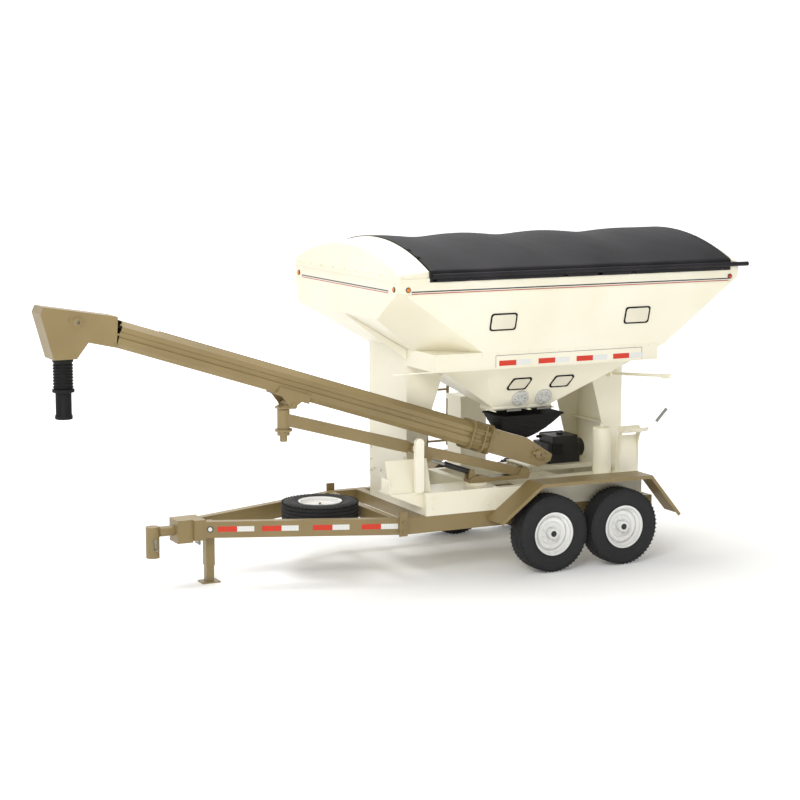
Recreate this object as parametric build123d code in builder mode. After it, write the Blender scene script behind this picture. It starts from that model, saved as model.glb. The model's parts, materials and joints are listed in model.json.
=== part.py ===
from build123d import *
import os
from math import atan2, cos, hypot, radians, sin

# Tandem-axle seed tender trailer: twin-compartment hopper, swing-out belt conveyor, A-frame tongue.
# Millimetres. Origin under the jack foot, +X to the rear, +Z up, the conveyor on the -Y side.

# Wheels and axles
tyre_radius = 391
tyre_width = 235
rim_seat_radius = 205
track_half = 1030
front_axle_x = 3230
axle_spacing = 820
stud_circle_radius = 82
stud_count = 8
running_clearance = 0.3
shaft_clearance = 0.05

# Running gear
rail_bottom = 470
rail_height = 160
rail_width = 90
rail_wall = 8
rail_half = 850
rail_rear_x = 4560
tongue_front_x = -80
tongue_rear_x = 1710
tongue_front_half = 150

# Cream base frame that carries the hopper legs and the conveyor turret
base_height = 220
base_front_x = 1948
base_rear_x = 4432
leg_half = 430
leg_sheet = 8

# Hopper
hopper_front_x = 1464
hopper_length = 3846
hopper_half = 1220
rim_top = 3000
rim_band = 155
belt_top = 2240
belt_height = 170
belt_half = 1050
front_panel_bottom = 2577
rear_panel_bottom = 2620
front_slope = 0.7265
rear_slope = 0.524
outlet_z = 1640
outlet_near_y = -700
outlet_far_y = -450
sheet = 5
divider_x = 3150

# Tarp
tarp_rise = 322
tarp_thickness = 8
cap_rise = 262
front_cap_length = 320
rear_cap_length = 100

# Conveyor
conveyor_y = -600
conveyor_angle = 18
conveyor_ref_x = 300
conveyor_ref_z = 2100
tube_width = 250
tube_height = 248
tube_sheet = 5
head_s = -1900
tail_s = 3140
pulley_radius = 60
belt_thickness = 6
boot_rim_z = 1555
boot_front_x = 2800
boot_rear_x = 3530
boot_half_width = 235

# Swing arm and turret
turret_x = 2640
arm_hinge_x = 3155
arm_hinge_z = 935
arm_front_x = 545
arm_front_z = 1655
arm_pin_radius = 22
knuckle_pin_radius = 35

# Derived places
rail_top = rail_bottom + rail_height
base_top = rail_top + base_height
hopper_rear_x = hopper_front_x + hopper_length
rim_bottom = rim_top - rim_band
belt_bottom = belt_top - belt_height
axle_xs = [front_axle_x, front_axle_x + axle_spacing]
angle = radians(conveyor_angle)
near_lean = (hopper_half - belt_half) / (rim_bottom - belt_top)

os.makedirs("parts", exist_ok=True)


def finish(builder, name):
    builder.part.label = name
    export_step(builder.part, f"parts/{name}.step")


def finish_joined(name, *builders):
    """Saves several welded pieces as one part."""
    with BuildPart() as joined:
        for builder in builders:
            add(builder.part)
    finish(joined, name)


def block(x0, x1, y0, y1, z0, z1, mode=Mode.ADD):
    with Locations(((x0 + x1) / 2, (y0 + y1) / 2, (z0 + z1) / 2)):
        Box(x1 - x0, y1 - y0, z1 - z0, mode=mode)


def void(x0, x1, y0, y1, z0, z1, wall):
    """Empties a closed box section, leaving its wall."""
    block(x0 + wall, x1 - wall, y0 + wall, y1 - wall, z0 + wall, z1 - wall, mode=Mode.SUBTRACT)


def polygon_face(plane, points):
    with BuildSketch(plane) as outline:
        with BuildLine():
            Polyline(*points, close=True)
        make_face()
    return outline.sketch


def side_plate(points, y0, y1, mode=Mode.ADD):
    """A plate whose outline is given in x and z, from y0 up to y1."""
    extrude(polygon_face(Plane.XZ.offset(-y1), points), amount=y1 - y0, mode=mode)


def plan_plate(points, z0, z1, mode=Mode.ADD):
    extrude(polygon_face(Plane.XY.offset(z0), points), amount=z1 - z0, mode=mode)


def cross_plate(points, x0, x1, mode=Mode.ADD):
    """A plate whose outline is given in y and z, from x0 up to x1."""
    extrude(polygon_face(Plane.YZ.offset(x0), points), amount=x1 - x0, mode=mode)


def rod(start, end, radius, mode=Mode.ADD):
    run = Vector(*end) - Vector(*start)
    with BuildSketch(Plane(origin=start, z_dir=run)) as circle:
        Circle(radius)
    extrude(circle.sketch, amount=run.length, mode=mode)


def ring(start, end, outer, inner):
    rod(start, end, outer)
    rod(start, end, inner, mode=Mode.SUBTRACT)


def band(points, thickness):
    """Closed outline of a sheet bent along points, thickened to the right of travel, in mitred corners."""
    moved = []
    for i, (x, z) in enumerate(points):
        directions = []
        if i > 0:
            directions.append((x - points[i - 1][0], z - points[i - 1][1]))
        if i < len(points) - 1:
            directions.append((points[i + 1][0] - x, points[i + 1][1] - z))
        normals = [(dz / hypot(dx, dz), -dx / hypot(dx, dz)) for dx, dz in directions]
        nx = sum(n[0] for n in normals)
        nz = sum(n[1] for n in normals)
        reach = 1 + (normals[0][0] * normals[-1][0] + normals[0][1] * normals[-1][1])
        scale = thickness / reach if len(normals) == 2 else thickness
        moved.append((x + nx * scale, z + nz * scale))
    return list(points) + moved[::-1]


def on_conveyor(s, h):
    """Point in x and z at s along the conveyor towards its tail and h above its centre line."""
    x = conveyor_ref_x + s * cos(angle) + h * sin(angle)
    z = conveyor_ref_z - s * sin(angle) + h * cos(angle)
    return (x, z)


def conveyor_point(s, h, y=0):
    x, z = on_conveyor(s, h)
    return (x, conveyor_y + y, z)


def conveyor_section(s):
    """Plane square to the conveyor: x is +Y of the part, y is up from the belt."""
    return Plane(origin=conveyor_point(s, 0), x_dir=(0, 1, 0), z_dir=(cos(angle), 0, -sin(angle)))


# ---------------------------------------------------------------- wheels

def wheel_section(x, y):
    """Plane whose x runs along the axle and whose y is the radius."""
    return Plane(origin=(x, y, tyre_radius), x_dir=(0, 1, 0), z_dir=(1, 0, 0))


def tyre_outline(wall):
    """Half section of a tyre casing, moved inwards by wall."""
    half = tyre_width / 2 - wall
    bead = 92 - wall * 0.4
    crown = tyre_radius - wall
    with BuildLine() as line:
        foot = Polyline((-bead, rim_seat_radius + 12), (-bead, rim_seat_radius), (bead, rim_seat_radius),
                        (bead, rim_seat_radius + 12))
        right = Spline(foot @ 1, (half, rim_seat_radius + 95), (half * 0.83, crown - 10),
                       tangents=[(0.5, 1), (-1, 1.1)])
        top = Polyline(right @ 1, (half * 0.74, crown - 1), (-half * 0.74, crown - 1), (-half * 0.83, crown - 10))
        Spline(top @ 1, (-half, rim_seat_radius + 95), foot @ 0, tangents=[(-1, -1.1), (0.5, -1)])
    return line.line


def add_tyre(plane, axis):
    with BuildSketch(plane) as casing:
        make_face(tyre_outline(0))
    revolve(casing.sketch, axis=axis)
    with BuildSketch(plane) as cavity:
        make_face(tyre_outline(14))
    revolve(cavity.sketch, axis=axis, mode=Mode.SUBTRACT)
    with BuildSketch(plane) as mouth:
        with Locations((0, rim_seat_radius)):
            Rectangle(120, 40)
    revolve(mouth.sketch, axis=axis, mode=Mode.SUBTRACT)


def add_rim(plane, axis, disc_y, outward):
    """Drop-centre barrel with a dished disc; outward is the side of the disc face."""
    seat = rim_seat_radius - running_clearance
    barrel = [(-108, seat + 13), (-100, seat + 13), (-98, seat), (-60, seat), (-50, seat - 22), (50, seat - 22),
              (60, seat), (98, seat), (100, seat + 13), (108, seat + 13)]
    with BuildSketch(plane) as section:
        with BuildLine():
            Polyline(*band(barrel, 6), close=True)
        make_face()
    revolve(section.sketch, axis=axis)
    dish = [(disc_y, 60), (disc_y, 112), (disc_y + outward * 22, 128), (disc_y + outward * 22, 150),
            (disc_y - outward * 6, seat - 24)]
    disc = band(dish, 9 * outward)
    with BuildSketch(plane) as face:
        with BuildLine():
            Polyline(*disc, close=True)
        make_face()
    revolve(face.sketch, axis=axis)


def stud_places(x, y, z, side):
    plane = Plane(origin=(x, y, z), x_dir=(1, 0, 0), z_dir=(0, side, 0))
    for i in range(stud_count):
        turn = radians(360 / stud_count * i + 22.5)
        local = Vector(stud_circle_radius * cos(turn), stud_circle_radius * sin(turn), 0)
        yield plane.from_local_coords(local)


wheel_names = {}
for side, side_name in ((-1, "left"), (1, "right")):
    for axle, axle_name in enumerate(("front", "rear")):
        wheel_names[f"{axle_name}_{side_name}"] = (axle_xs[axle], side)

for wheel, (wheel_x, side) in wheel_names.items():
    centre_y = side * track_half
    disc_y = side * 28
    section = wheel_section(wheel_x, centre_y)
    spin_axis = Axis((wheel_x, centre_y, tyre_radius), (0, 1, 0))
    with BuildPart() as tyre:
        add_tyre(section, spin_axis)
    finish(tyre, f"tyre_{wheel}")

    with BuildPart() as rim:
        add_rim(section, spin_axis, disc_y, side)
        for place in stud_places(wheel_x, centre_y + disc_y, tyre_radius, side):
            rod((place.X, place.Y - 40, place.Z), (place.X, place.Y + 40, place.Z), 8, mode=Mode.SUBTRACT)

    # Hub on the spindle, with its flange behind the disc, studs through it and nuts on the face
    flange_y = centre_y + disc_y
    with BuildPart() as hub:
        hub_in = flange_y - side * 62
        hub_out = flange_y + side * 70
        rod((wheel_x, hub_in, tyre_radius), (wheel_x, hub_out, tyre_radius), 52)
        rod((wheel_x, flange_y - side * 12, tyre_radius), (wheel_x, flange_y, tyre_radius), 104)
        rod((wheel_x, hub_in, tyre_radius), (wheel_x, flange_y + side * 40, tyre_radius), 25 + shaft_clearance,
            mode=Mode.SUBTRACT)
        for place in stud_places(wheel_x, flange_y, tyre_radius, side):
            rod((place.X, place.Y - side * 16, place.Z), (place.X, place.Y + side * 42, place.Z), 7)
            nut = Plane(origin=(place.X, flange_y + side * 9, place.Z), z_dir=(0, side, 0))
            with BuildSketch(nut) as hexagon:
                RegularPolygon(radius=13, side_count=6)
            extrude(hexagon.sketch, amount=16)
    finish_joined(f"rim_{wheel}", rim, hub)

# ---------------------------------------------------------------- running gear

def tongue_edge(x):
    """Outer half width of the tongue at x."""
    share = (x - tongue_front_x) / (tongue_rear_x - tongue_front_x)
    return tongue_front_half + share * (rail_half - tongue_front_half)


def mirrored_plan(points, z0, z1, mode=Mode.ADD):
    plan_plate(points, z0, z1, mode=mode)
    plan_plate([(x, -y) for x, y in points], z0, z1, mode=mode)


with BuildPart() as tongue_rails:
    mirrored_plan([(tongue_front_x, -tongue_front_half), (tongue_rear_x, -rail_half),
                   (tongue_rear_x, -rail_half + rail_width), (tongue_front_x, -tongue_front_half + rail_width)],
                  rail_bottom, rail_top)
    hollow_xs = (tongue_front_x + 12, tongue_rear_x - 12)
    edge = [tongue_edge(x) for x in hollow_xs]
    mirrored_plan([(hollow_xs[0], rail_wall - edge[0]), (hollow_xs[1], rail_wall - edge[1]),
                   (hollow_xs[1], rail_width - rail_wall - edge[1]), (hollow_xs[0], rail_width - rail_wall - edge[0])],
                  rail_bottom + rail_wall, rail_top - rail_wall, mode=Mode.SUBTRACT)
finish(tongue_rails, "tongue_rails")

with BuildPart() as main_rails:
    mirrored_plan([(tongue_rear_x, -rail_half), (rail_rear_x, -rail_half), (rail_rear_x, -rail_half + rail_width),
                   (tongue_rear_x, -rail_half + rail_width)], rail_bottom, rail_top)
    for y in (-rail_half, rail_half - rail_width):
        void(tongue_rear_x, rail_rear_x, y, y + rail_width, rail_bottom, rail_top, rail_wall)

tongue_inner = [tongue_edge(x) - rail_width for x in (700, 780, 1600, 1680)]
spare_x = 1190
spare_bottom = rail_bottom + 10
with BuildPart() as cross_members:
    for x0, x1 in ((base_front_x, base_front_x + 90), (2600, 2690), (3560, 3650), (base_rear_x - 90, base_rear_x)):
        block(x0, x1, -rail_half + rail_width, rail_half - rail_width, rail_bottom + 40, rail_top)
    plan_plate([(1600, -tongue_inner[2]), (1680, -tongue_inner[3]), (1680, tongue_inner[3]),
                (1600, tongue_inner[2])], rail_bottom + 40, rail_top)
    block(rail_rear_x - 60, rail_rear_x, -rail_half + rail_width, rail_half - rail_width, rail_bottom, rail_top)
    carrier = [tongue_edge(x) - rail_width for x in (spare_x - 60, spare_x + 60)]
    plan_plate([(spare_x - 60, -carrier[0]), (spare_x + 60, -carrier[1]), (spare_x + 60, carrier[1]),
                (spare_x - 60, carrier[0])], rail_bottom, spare_bottom)

with BuildPart() as splice_plates:
    for side in (-1, 1):
        inner = side * rail_half
        outer = side * (rail_half + 22)
        block(1650, 1735, min(inner, outer), max(inner, outer), rail_bottom - 12, rail_top + 70)
        for z in (rail_bottom + 35, rail_bottom + 125):
            rod((1692, outer, z), (1692, outer + side * 12, z), 14)

# Hitch: cross head on the rails, drawbar tube, and a drop post with a ball socket
socket_radius = 26
drop_post_x = -575
hitch_z = 545
with BuildPart() as hitch_head:
    block(-200, tongue_front_x, -tongue_front_half, tongue_front_half, rail_bottom - 20, rail_top + 20)
    block(-360, -200, -115, 115, 430, 655)
    rod((-360, 0, hitch_z), (-505, 0, hitch_z), 50)

with BuildPart() as hitch_post:
    rod((drop_post_x, 0, 296), (drop_post_x, 0, 600), 66)
    rod((drop_post_x, 0, 296), (drop_post_x, 0, 380), socket_radius, mode=Mode.SUBTRACT)
    rod((drop_post_x + 60, 0, hitch_z), (-505, 0, hitch_z), 40)

with BuildPart() as hitch_latch:
    rod((drop_post_x, -66.4, 470), (drop_post_x, -80, 470), 16)
    side_plate([(drop_post_x - 10, 470), (drop_post_x + 10, 470), (drop_post_x + 10, 380),
                (drop_post_x - 10, 380)], -80, -73)
    rod((drop_post_x, -73, 385), (drop_post_x, -125, 385), 9)
finish(hitch_latch, "hitch_latch")

# Jack: square outer tube clamped between the rails, sliding inner leg with a foot
jack_half = 45
with BuildPart() as jack_tube:
    block(-jack_half, jack_half, -jack_half, jack_half, 170, 610)
    block(-jack_half + 6, jack_half - 6, -jack_half + 6, jack_half - 6, 169, 600, mode=Mode.SUBTRACT)
    mirrored_plan([(-jack_half, rail_width - tongue_edge(-jack_half)), (jack_half, rail_width - tongue_edge(jack_half)),
                   (jack_half, -jack_half), (-jack_half, -jack_half)], 500, 560)
finish(jack_tube, "jack_tube")

with BuildPart() as jack_leg:
    inner = jack_half - 6 - running_clearance
    block(-inner, inner, -inner, inner, 12, 330)
    block(-95, 95, -80, 80, 0, 12)
    fillet(jack_leg.edges().filter_by(Axis.Z).group_by(Axis.X)[0], 15)
    fillet(jack_leg.edges().filter_by(Axis.Z).group_by(Axis.X)[-1], 15)
finish(jack_leg, "jack_leg")

# Jack crank on the far side: shaft through the outer tube, arm and grip
with BuildPart() as jack_crank:
    rod((0, jack_half + running_clearance, 440), (0, 262, 440), 10)
    side_plate([(-12, 452), (12, 452), (12, 320), (-12, 320)], 250, 258)
    rod((0, 250, 332), (0, 340, 332), 12)
finish(jack_crank, "jack_crank")

with BuildPart() as axle_beams:
    for x in axle_xs:
        block(x - 38, x + 38, -rail_half - 5, rail_half + 5, tyre_radius - 38, tyre_radius + 38)
        void(x - 38, x + 38, -rail_half - 5, rail_half + 5, tyre_radius - 38, tyre_radius + 38, 8)
        for side in (-1, 1):
            rod((x, side * (rail_half + 5), tyre_radius), (x, side * (track_half + 40), tyre_radius), 25)

with BuildPart() as axle_hangers:
    for x in axle_xs:
        for side in (-1, 1):
            for y in (rail_half - 20, rail_half - rail_width):
                plate = sorted((side * y, side * (y + 14)))
                side_plate([(x - 130, rail_bottom), (x - 60, 350), (x + 60, 350), (x + 130, rail_bottom)],
                           plate[0], plate[1])
        block(x - 38, x + 38, -rail_half, rail_half, tyre_radius - 38, tyre_radius + 38, mode=Mode.SUBTRACT)

# Fenders: bent sheet from the rail out over both tyres, with a folded outer lip
fender_line = [(2617, 551), (3086, 904), (4371, 896), (4721, 471)]
with BuildPart() as fenders:
    for side in (-1, 1):
        skin = sorted((side * rail_half, side * 1150))
        lip = sorted((side * 1144, side * 1150))
        side_plate(band(fender_line, 6), skin[0], skin[1])
        side_plate(band(fender_line, 34), lip[0], lip[1])
finish(fenders, "fenders")

# ---------------------------------------------------------------- base frame and legs

def front_plane_z(x):
    return front_panel_bottom - front_slope * (x - hopper_front_x)


def rear_plane_z(x):
    return rear_panel_bottom - rear_slope * (hopper_rear_x - x)


deck_x = (3507, 4300)
deck_y = (-200, leg_half - 90)
with BuildPart() as base_frame:
    block(base_front_x, base_rear_x, -rail_half, -rail_half + 80, rail_top, base_top)
    block(base_front_x, base_rear_x, leg_half - 80, leg_half, rail_top, base_top)
    for x0, x1 in ((base_front_x, base_front_x + 90), (2600, 2690), (3560, 3650), (base_rear_x - 90, base_rear_x)):
        block(x0, x1, -rail_half + 80, leg_half - 80, rail_top, base_top)
    for y in (-rail_half, leg_half - 80):
        void(base_front_x, base_rear_x, y, y + 80, rail_top, base_top, rail_wall)
    block(base_front_x, 2760, -rail_half, -leg_half, base_top, base_top + 8)
    block(3480, base_rear_x, -rail_half, -leg_half - 60, base_top, base_top + 8)

with BuildPart() as engine_deck:
    block(deck_x[0], deck_x[1], deck_y[0], deck_y[1], base_top + 30, base_top + 45)
    block(deck_x[0], deck_x[1], deck_y[0], deck_y[0] + 8, base_top, base_top + 30)
    block(deck_x[0], deck_x[1], deck_y[1] - 8, deck_y[1], base_top, base_top + 30)

leg_front_x = 1940
leg_rear_x = 4440
foot_z = base_top + 8
with BuildPart() as front_leg:
    outline = [(leg_front_x, foot_z), (2090, foot_z), (2223, 1620), (2335, front_plane_z(2335)),
               (leg_front_x, front_plane_z(leg_front_x))]
    side_plate(outline, -leg_half, -leg_half + leg_sheet)
    side_plate(outline, leg_half - leg_sheet, leg_half)
    front_edge = [(leg_front_x, foot_z), (leg_front_x + leg_sheet, foot_z),
                  (leg_front_x + leg_sheet, front_plane_z(leg_front_x + leg_sheet)),
                  (leg_front_x, front_plane_z(leg_front_x))]
    side_plate(front_edge, -leg_half, leg_half)
    block(leg_front_x, 2090, -leg_half, leg_half, base_top, foot_z)
    for z in (1200, 1600, 1950):
        block(leg_front_x + leg_sheet, leg_front_x + 90, -leg_half, leg_half, z, z + 8)

with BuildPart() as rear_leg:
    outline = [(leg_rear_x, foot_z), (4330, foot_z), (4042, rear_plane_z(4042)),
               (leg_rear_x, rear_plane_z(leg_rear_x))]
    side_plate(outline, -leg_half, -leg_half + leg_sheet)
    side_plate(outline, leg_half - leg_sheet, leg_half)
    rear_edge = [(leg_rear_x, foot_z), (leg_rear_x - leg_sheet, foot_z),
                 (leg_rear_x - leg_sheet, rear_plane_z(leg_rear_x - leg_sheet)),
                 (leg_rear_x, rear_plane_z(leg_rear_x))]
    side_plate(rear_edge, -leg_half, leg_half)
    block(4330, leg_rear_x, -leg_half, leg_half, base_top, foot_z)
    for z in (1300, 1700):
        block(leg_rear_x - 90, leg_rear_x - leg_sheet, -leg_half, leg_half, z, z + 8)

# ---------------------------------------------------------------- hopper

far_profile = [(hopper_half, rim_bottom), (hopper_half - 70, front_panel_bottom + 33)]


def hopper_profile(inset, top):
    """Section across the hopper, moved inwards by inset, open end carried up to top."""
    points = [(-hopper_half, top + inset), (-hopper_half, rim_bottom), (-belt_half, belt_top),
              (outlet_near_y, outlet_z), (outlet_far_y, outlet_z), far_profile[1], far_profile[0],
              (hopper_half, top + inset)]
    with BuildSketch(Plane.YZ) as profile:
        with BuildLine():
            Polyline(*points, close=True)
        make_face()
        if inset:
            offset(amount=-inset, kind=Kind.INTERSECTION)
    return profile.sketch


def outward_plane(a, b, c, inset):
    """Plane through three points of the skin, facing down and out, moved inwards by inset."""
    normal = (Vector(*b) - Vector(*a)).cross(Vector(*c) - Vector(*a)).normalized()
    if normal.Z > 0:
        normal = normal * -1
    return Plane(origin=a, z_dir=normal).offset(-inset)


def hopper_zone(inset, top, x0, x1, above_belt):
    """Part of the hopper body above or below the top of the belt beam."""
    front_run = hypot(1, front_slope)
    rear_run = hypot(1, rear_slope)
    front = Plane(origin=(hopper_front_x, 0, front_panel_bottom), z_dir=(-front_slope / front_run, 0, -1 / front_run))
    rear = Plane(origin=(hopper_rear_x, 0, rear_panel_bottom), z_dir=(rear_slope / rear_run, 0, -1 / rear_run))
    planes = [front.offset(-inset), rear.offset(-inset)]
    near_front = (2460, -belt_half, belt_top)
    if above_belt:
        planes.append(outward_plane((hopper_front_x + 66, -hopper_half, rim_bottom),
                                    (hopper_front_x, -740, front_panel_bottom), near_front, inset))
        planes.append(outward_plane((hopper_rear_x - 66, -hopper_half, rim_bottom),
                                    (hopper_rear_x, -740, rear_panel_bottom), (4570, -belt_half, belt_top), inset))
    else:
        planes.append(outward_plane(near_front, (1928, -600, belt_top), (outlet_x[0], outlet_near_y, outlet_z), inset))
    with BuildPart(mode=Mode.PRIVATE) as body:
        extrude(hopper_profile(inset, top), amount=x1 - x0)
        for plane in planes:
            moved = Plane(origin=(plane.origin.X - x0, plane.origin.Y, plane.origin.Z), z_dir=plane.z_dir)
            split(bisect_by=moved, keep=Keep.BOTTOM)
        split(bisect_by=Plane.XY.offset(belt_top), keep=Keep.TOP if above_belt else Keep.BOTTOM)
    return Location((x0, 0, 0)) * body.part


def add_hopper_body(inset, top, x0, x1, mode=Mode.ADD):
    add(hopper_zone(inset, top, x0, x1, True), mode=mode)
    add(hopper_zone(inset, top, x0, x1, False), mode=mode)


outlet_x = (hopper_front_x + (front_panel_bottom - outlet_z) / front_slope,
            hopper_rear_x - (rear_panel_bottom - outlet_z) / rear_slope)
with BuildPart() as hopper_shell:
    add_hopper_body(0, rim_top, hopper_front_x, hopper_rear_x)
    add_hopper_body(sheet, rim_top + 100, hopper_front_x + sheet, hopper_rear_x - sheet, mode=Mode.SUBTRACT)
    block(outlet_x[0] + sheet, outlet_x[1] - sheet, outlet_near_y + sheet, outlet_far_y - sheet,
          outlet_z - 20, outlet_z + 20, mode=Mode.SUBTRACT)

with BuildPart() as hopper_divider:
    add_hopper_body(sheet, rim_top - 30, hopper_front_x + sheet, hopper_rear_x - sheet)
    block(hopper_front_x - 50, divider_x, -hopper_half, hopper_half, outlet_z - 50, rim_top + 50,
          mode=Mode.SUBTRACT)
    block(divider_x + sheet, hopper_rear_x + 50, -hopper_half, hopper_half, outlet_z - 50, rim_top + 50,
          mode=Mode.SUBTRACT)
finish(hopper_divider, "hopper_divider")

# Belt beam along the foot of the near wall, closed to the front leg
belt_front_x = leg_front_x
belt_rear_x = 4470
with BuildPart() as hopper_belt:
    block(belt_front_x, belt_rear_x, -belt_half, -leg_half, belt_bottom, belt_top)
    add_hopper_body(0, rim_top, hopper_front_x, hopper_rear_x, mode=Mode.SUBTRACT)
    block(belt_front_x + 8, belt_rear_x - 8, -belt_half + 8, -leg_half + 1, belt_bottom - 1, belt_top - 8,
          mode=Mode.SUBTRACT)
    block(belt_front_x + 8, belt_front_x + 60, -leg_half - 8, -leg_half, belt_bottom, front_plane_z(2040) - 40)
    add_hopper_body(0, rim_top, hopper_front_x, hopper_rear_x, mode=Mode.SUBTRACT)

# Diagonal gusset from the front panel down to the near edge of the front leg
with BuildPart() as front_gusset:
    top_x = leg_front_x - 2
    a = Vector(hopper_front_x + 12, -20, front_plane_z(hopper_front_x + 12))
    b = Vector(top_x, -leg_half, front_plane_z(top_x))
    run = Vector(b.X - a.X, b.Y - a.Y, 0)
    flat = Plane(origin=(a.X, a.Y, 0), x_dir=run, z_dir=run.normalized().cross(Vector(0, 0, 1)))
    extrude(polygon_face(flat, [(0, a.Z), (run.length, b.Z), (run.length, b.Z - 100), (0, a.Z - 12)]),
            amount=8)
    add_hopper_body(0, rim_top, hopper_front_x, hopper_rear_x, mode=Mode.SUBTRACT)

chute_top = outlet_z
chute_bottom = outlet_z - 28
gate_thickness = 6
gate_top = chute_bottom - 1
chute_cells = [(outlet_x[0], divider_x), (divider_x + sheet, outlet_x[1])]
with BuildPart() as outlet_chutes:
    for x0, x1 in chute_cells:
        block(x0, x1, outlet_near_y, outlet_far_y, chute_bottom, chute_top)
        block(x0 + sheet, x1 - sheet, outlet_near_y + sheet, outlet_far_y - sheet, chute_bottom - 1, chute_top + 1,
              mode=Mode.SUBTRACT)
        for rail_x in (x0, x1 - 16):
            block(rail_x, rail_x + 16, outlet_near_y - 60, outlet_far_y, gate_top - 14, gate_top - 8)
            wall_x = rail_x if rail_x == x0 else rail_x + 12
            block(wall_x, wall_x + 4, outlet_near_y - 60, outlet_far_y, gate_top - 8, chute_bottom)
finish_joined("hopper_shell", hopper_shell, outlet_chutes)

for (x0, x1), cell in zip(chute_cells, ("front", "rear")):
    with BuildPart() as gate:
        block(x0 + 5, x1 - 5, outlet_near_y - 20, outlet_far_y, gate_top - gate_thickness, gate_top)
        middle = (x0 + x1) / 2
        rod_z = gate_top - gate_thickness / 2
        for pull_x in (middle - 40, middle + 40):
            rod((pull_x, outlet_near_y - 15, rod_z), (pull_x, outlet_near_y - 95, rod_z), 6)
        rod((middle - 80, outlet_near_y - 95, rod_z), (middle + 80, outlet_near_y - 95, rod_z), 9)
    finish(gate, f"gate_{cell}")

# Round clean-out caps that turn on a boss of the near slope
near_run = hypot(outlet_near_y + belt_half, belt_top - outlet_z)
near_down = Vector(0, (outlet_near_y + belt_half) / near_run, -(belt_top - outlet_z) / near_run)
near_out = Vector(0, -(belt_top - outlet_z) / near_run, -(outlet_near_y + belt_half) / near_run)
cap_radius = 88
for cell, cap_x in (("front", 3040), ("rear", 3310)):
    seat = Vector(cap_x, -belt_half, belt_top) + near_down * (near_run - cap_radius - 12)
    cap_plane = Plane(origin=seat + near_out * running_clearance, x_dir=(1, 0, 0), z_dir=near_out)
    with BuildPart() as cleanout_cap:
        with BuildSketch(cap_plane) as disc:
            Circle(cap_radius)
        extrude(disc.sketch, amount=26)
        fillet(cleanout_cap.edges().filter_by(GeomType.CIRCLE).group_by(SortBy.LENGTH)[-1][-1:], 5)
        with BuildSketch(cap_plane.offset(26)) as grip:
            Circle(30)
            with PolarLocations(0, 3):
                Rectangle(136, 20)
        extrude(grip.sketch, amount=16)
    finish(cleanout_cap, f"cleanout_cap_{cell}")


def arch_face(x, ends, rise, half, foot):
    """Segment under an arch, across the hopper at x, standing on foot."""
    with BuildSketch(Plane.YZ.offset(x)) as face:
        with BuildLine():
            ThreePointArc((-half, ends), (0, ends + rise), (half, ends))
            Polyline((half, ends), (half, foot), (-half, foot), (-half, ends))
        make_face()
    return face.sketch


cap_half = hopper_half - 2
with BuildPart() as end_caps:
    for x0, x1 in ((hopper_front_x, hopper_front_x + front_cap_length), (hopper_rear_x, hopper_rear_x - rear_cap_length)):
        inward = 1 if x1 > x0 else -1
        loft([arch_face(x0, rim_top + 34, cap_rise - 34, cap_half, rim_top),
              arch_face(x1, rim_top + 62, tarp_rise - 62, cap_half, rim_top)])
        loft([arch_face(x0 + inward * sheet, rim_top + 34, cap_rise - 34 - sheet, cap_half - sheet, rim_top - 1),
              arch_face(x1 + inward * 2, rim_top + 62, tarp_rise - 62 - sheet, cap_half - sheet, rim_top - 1)],
             mode=Mode.SUBTRACT)
finish(end_caps, "end_caps")

tarp_front_x = hopper_front_x + front_cap_length
tarp_rear_x = hopper_rear_x - rear_cap_length
tarp_half = hopper_half + 18
bow_radius = 14
bow_xs = [tarp_front_x + 116 + (tarp_rear_x - tarp_front_x - 576) * i / 3 for i in range(4)]
bow_half = hopper_half - 30
with BuildPart() as tarp_bows:
    for x in bow_xs:
        bow_ends = rim_top + 40
        bow_rise = tarp_rise - 60
        with BuildLine(mode=Mode.PRIVATE) as bow:
            arch = ThreePointArc((x, -bow_half, bow_ends), (x, 0, bow_ends + bow_rise), (x, bow_half, bow_ends))
        with BuildSketch(Plane(origin=arch @ 0, z_dir=arch % 0)) as pipe:
            Circle(bow_radius)
        sweep(pipe.sketch, path=bow.line)
        for side in (-1, 1):
            rod((x, side * bow_half, rim_top - 60), (x, side * bow_half, bow_ends + 8), bow_radius)
        for side in (-1, 1):
            clip = sorted((side * bow_half, side * (hopper_half - sheet)))
            block(x - 30, x + 30, clip[0], clip[1], rim_top - 50, rim_top - 20)
finish(tarp_bows, "tarp_bows")

skirt_foot = rim_top - 40
with BuildPart() as tarp:
    outer = arch_face(tarp_front_x + 1, rim_top + 70, tarp_rise - 62, tarp_half, skirt_foot)
    extrude(outer, amount=tarp_rear_x - tarp_front_x - 2)
    inner = arch_face(tarp_front_x, rim_top + 70 - tarp_thickness, tarp_rise - 62, tarp_half - tarp_thickness,
                      skirt_foot - 1)
    extrude(inner, amount=tarp_rear_x - tarp_front_x, mode=Mode.SUBTRACT)
finish(tarp, "tarp")

roll_radius = 22
roll_y = -(tarp_half + roll_radius + running_clearance)
roll_z = rim_top + 20
roll_end_x = hopper_rear_x + 90
with BuildPart() as roll_tube:
    rod((tarp_front_x + 20, roll_y, roll_z), (roll_end_x, roll_y, roll_z), roll_radius)
finish(roll_tube, "roll_tube")

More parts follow.
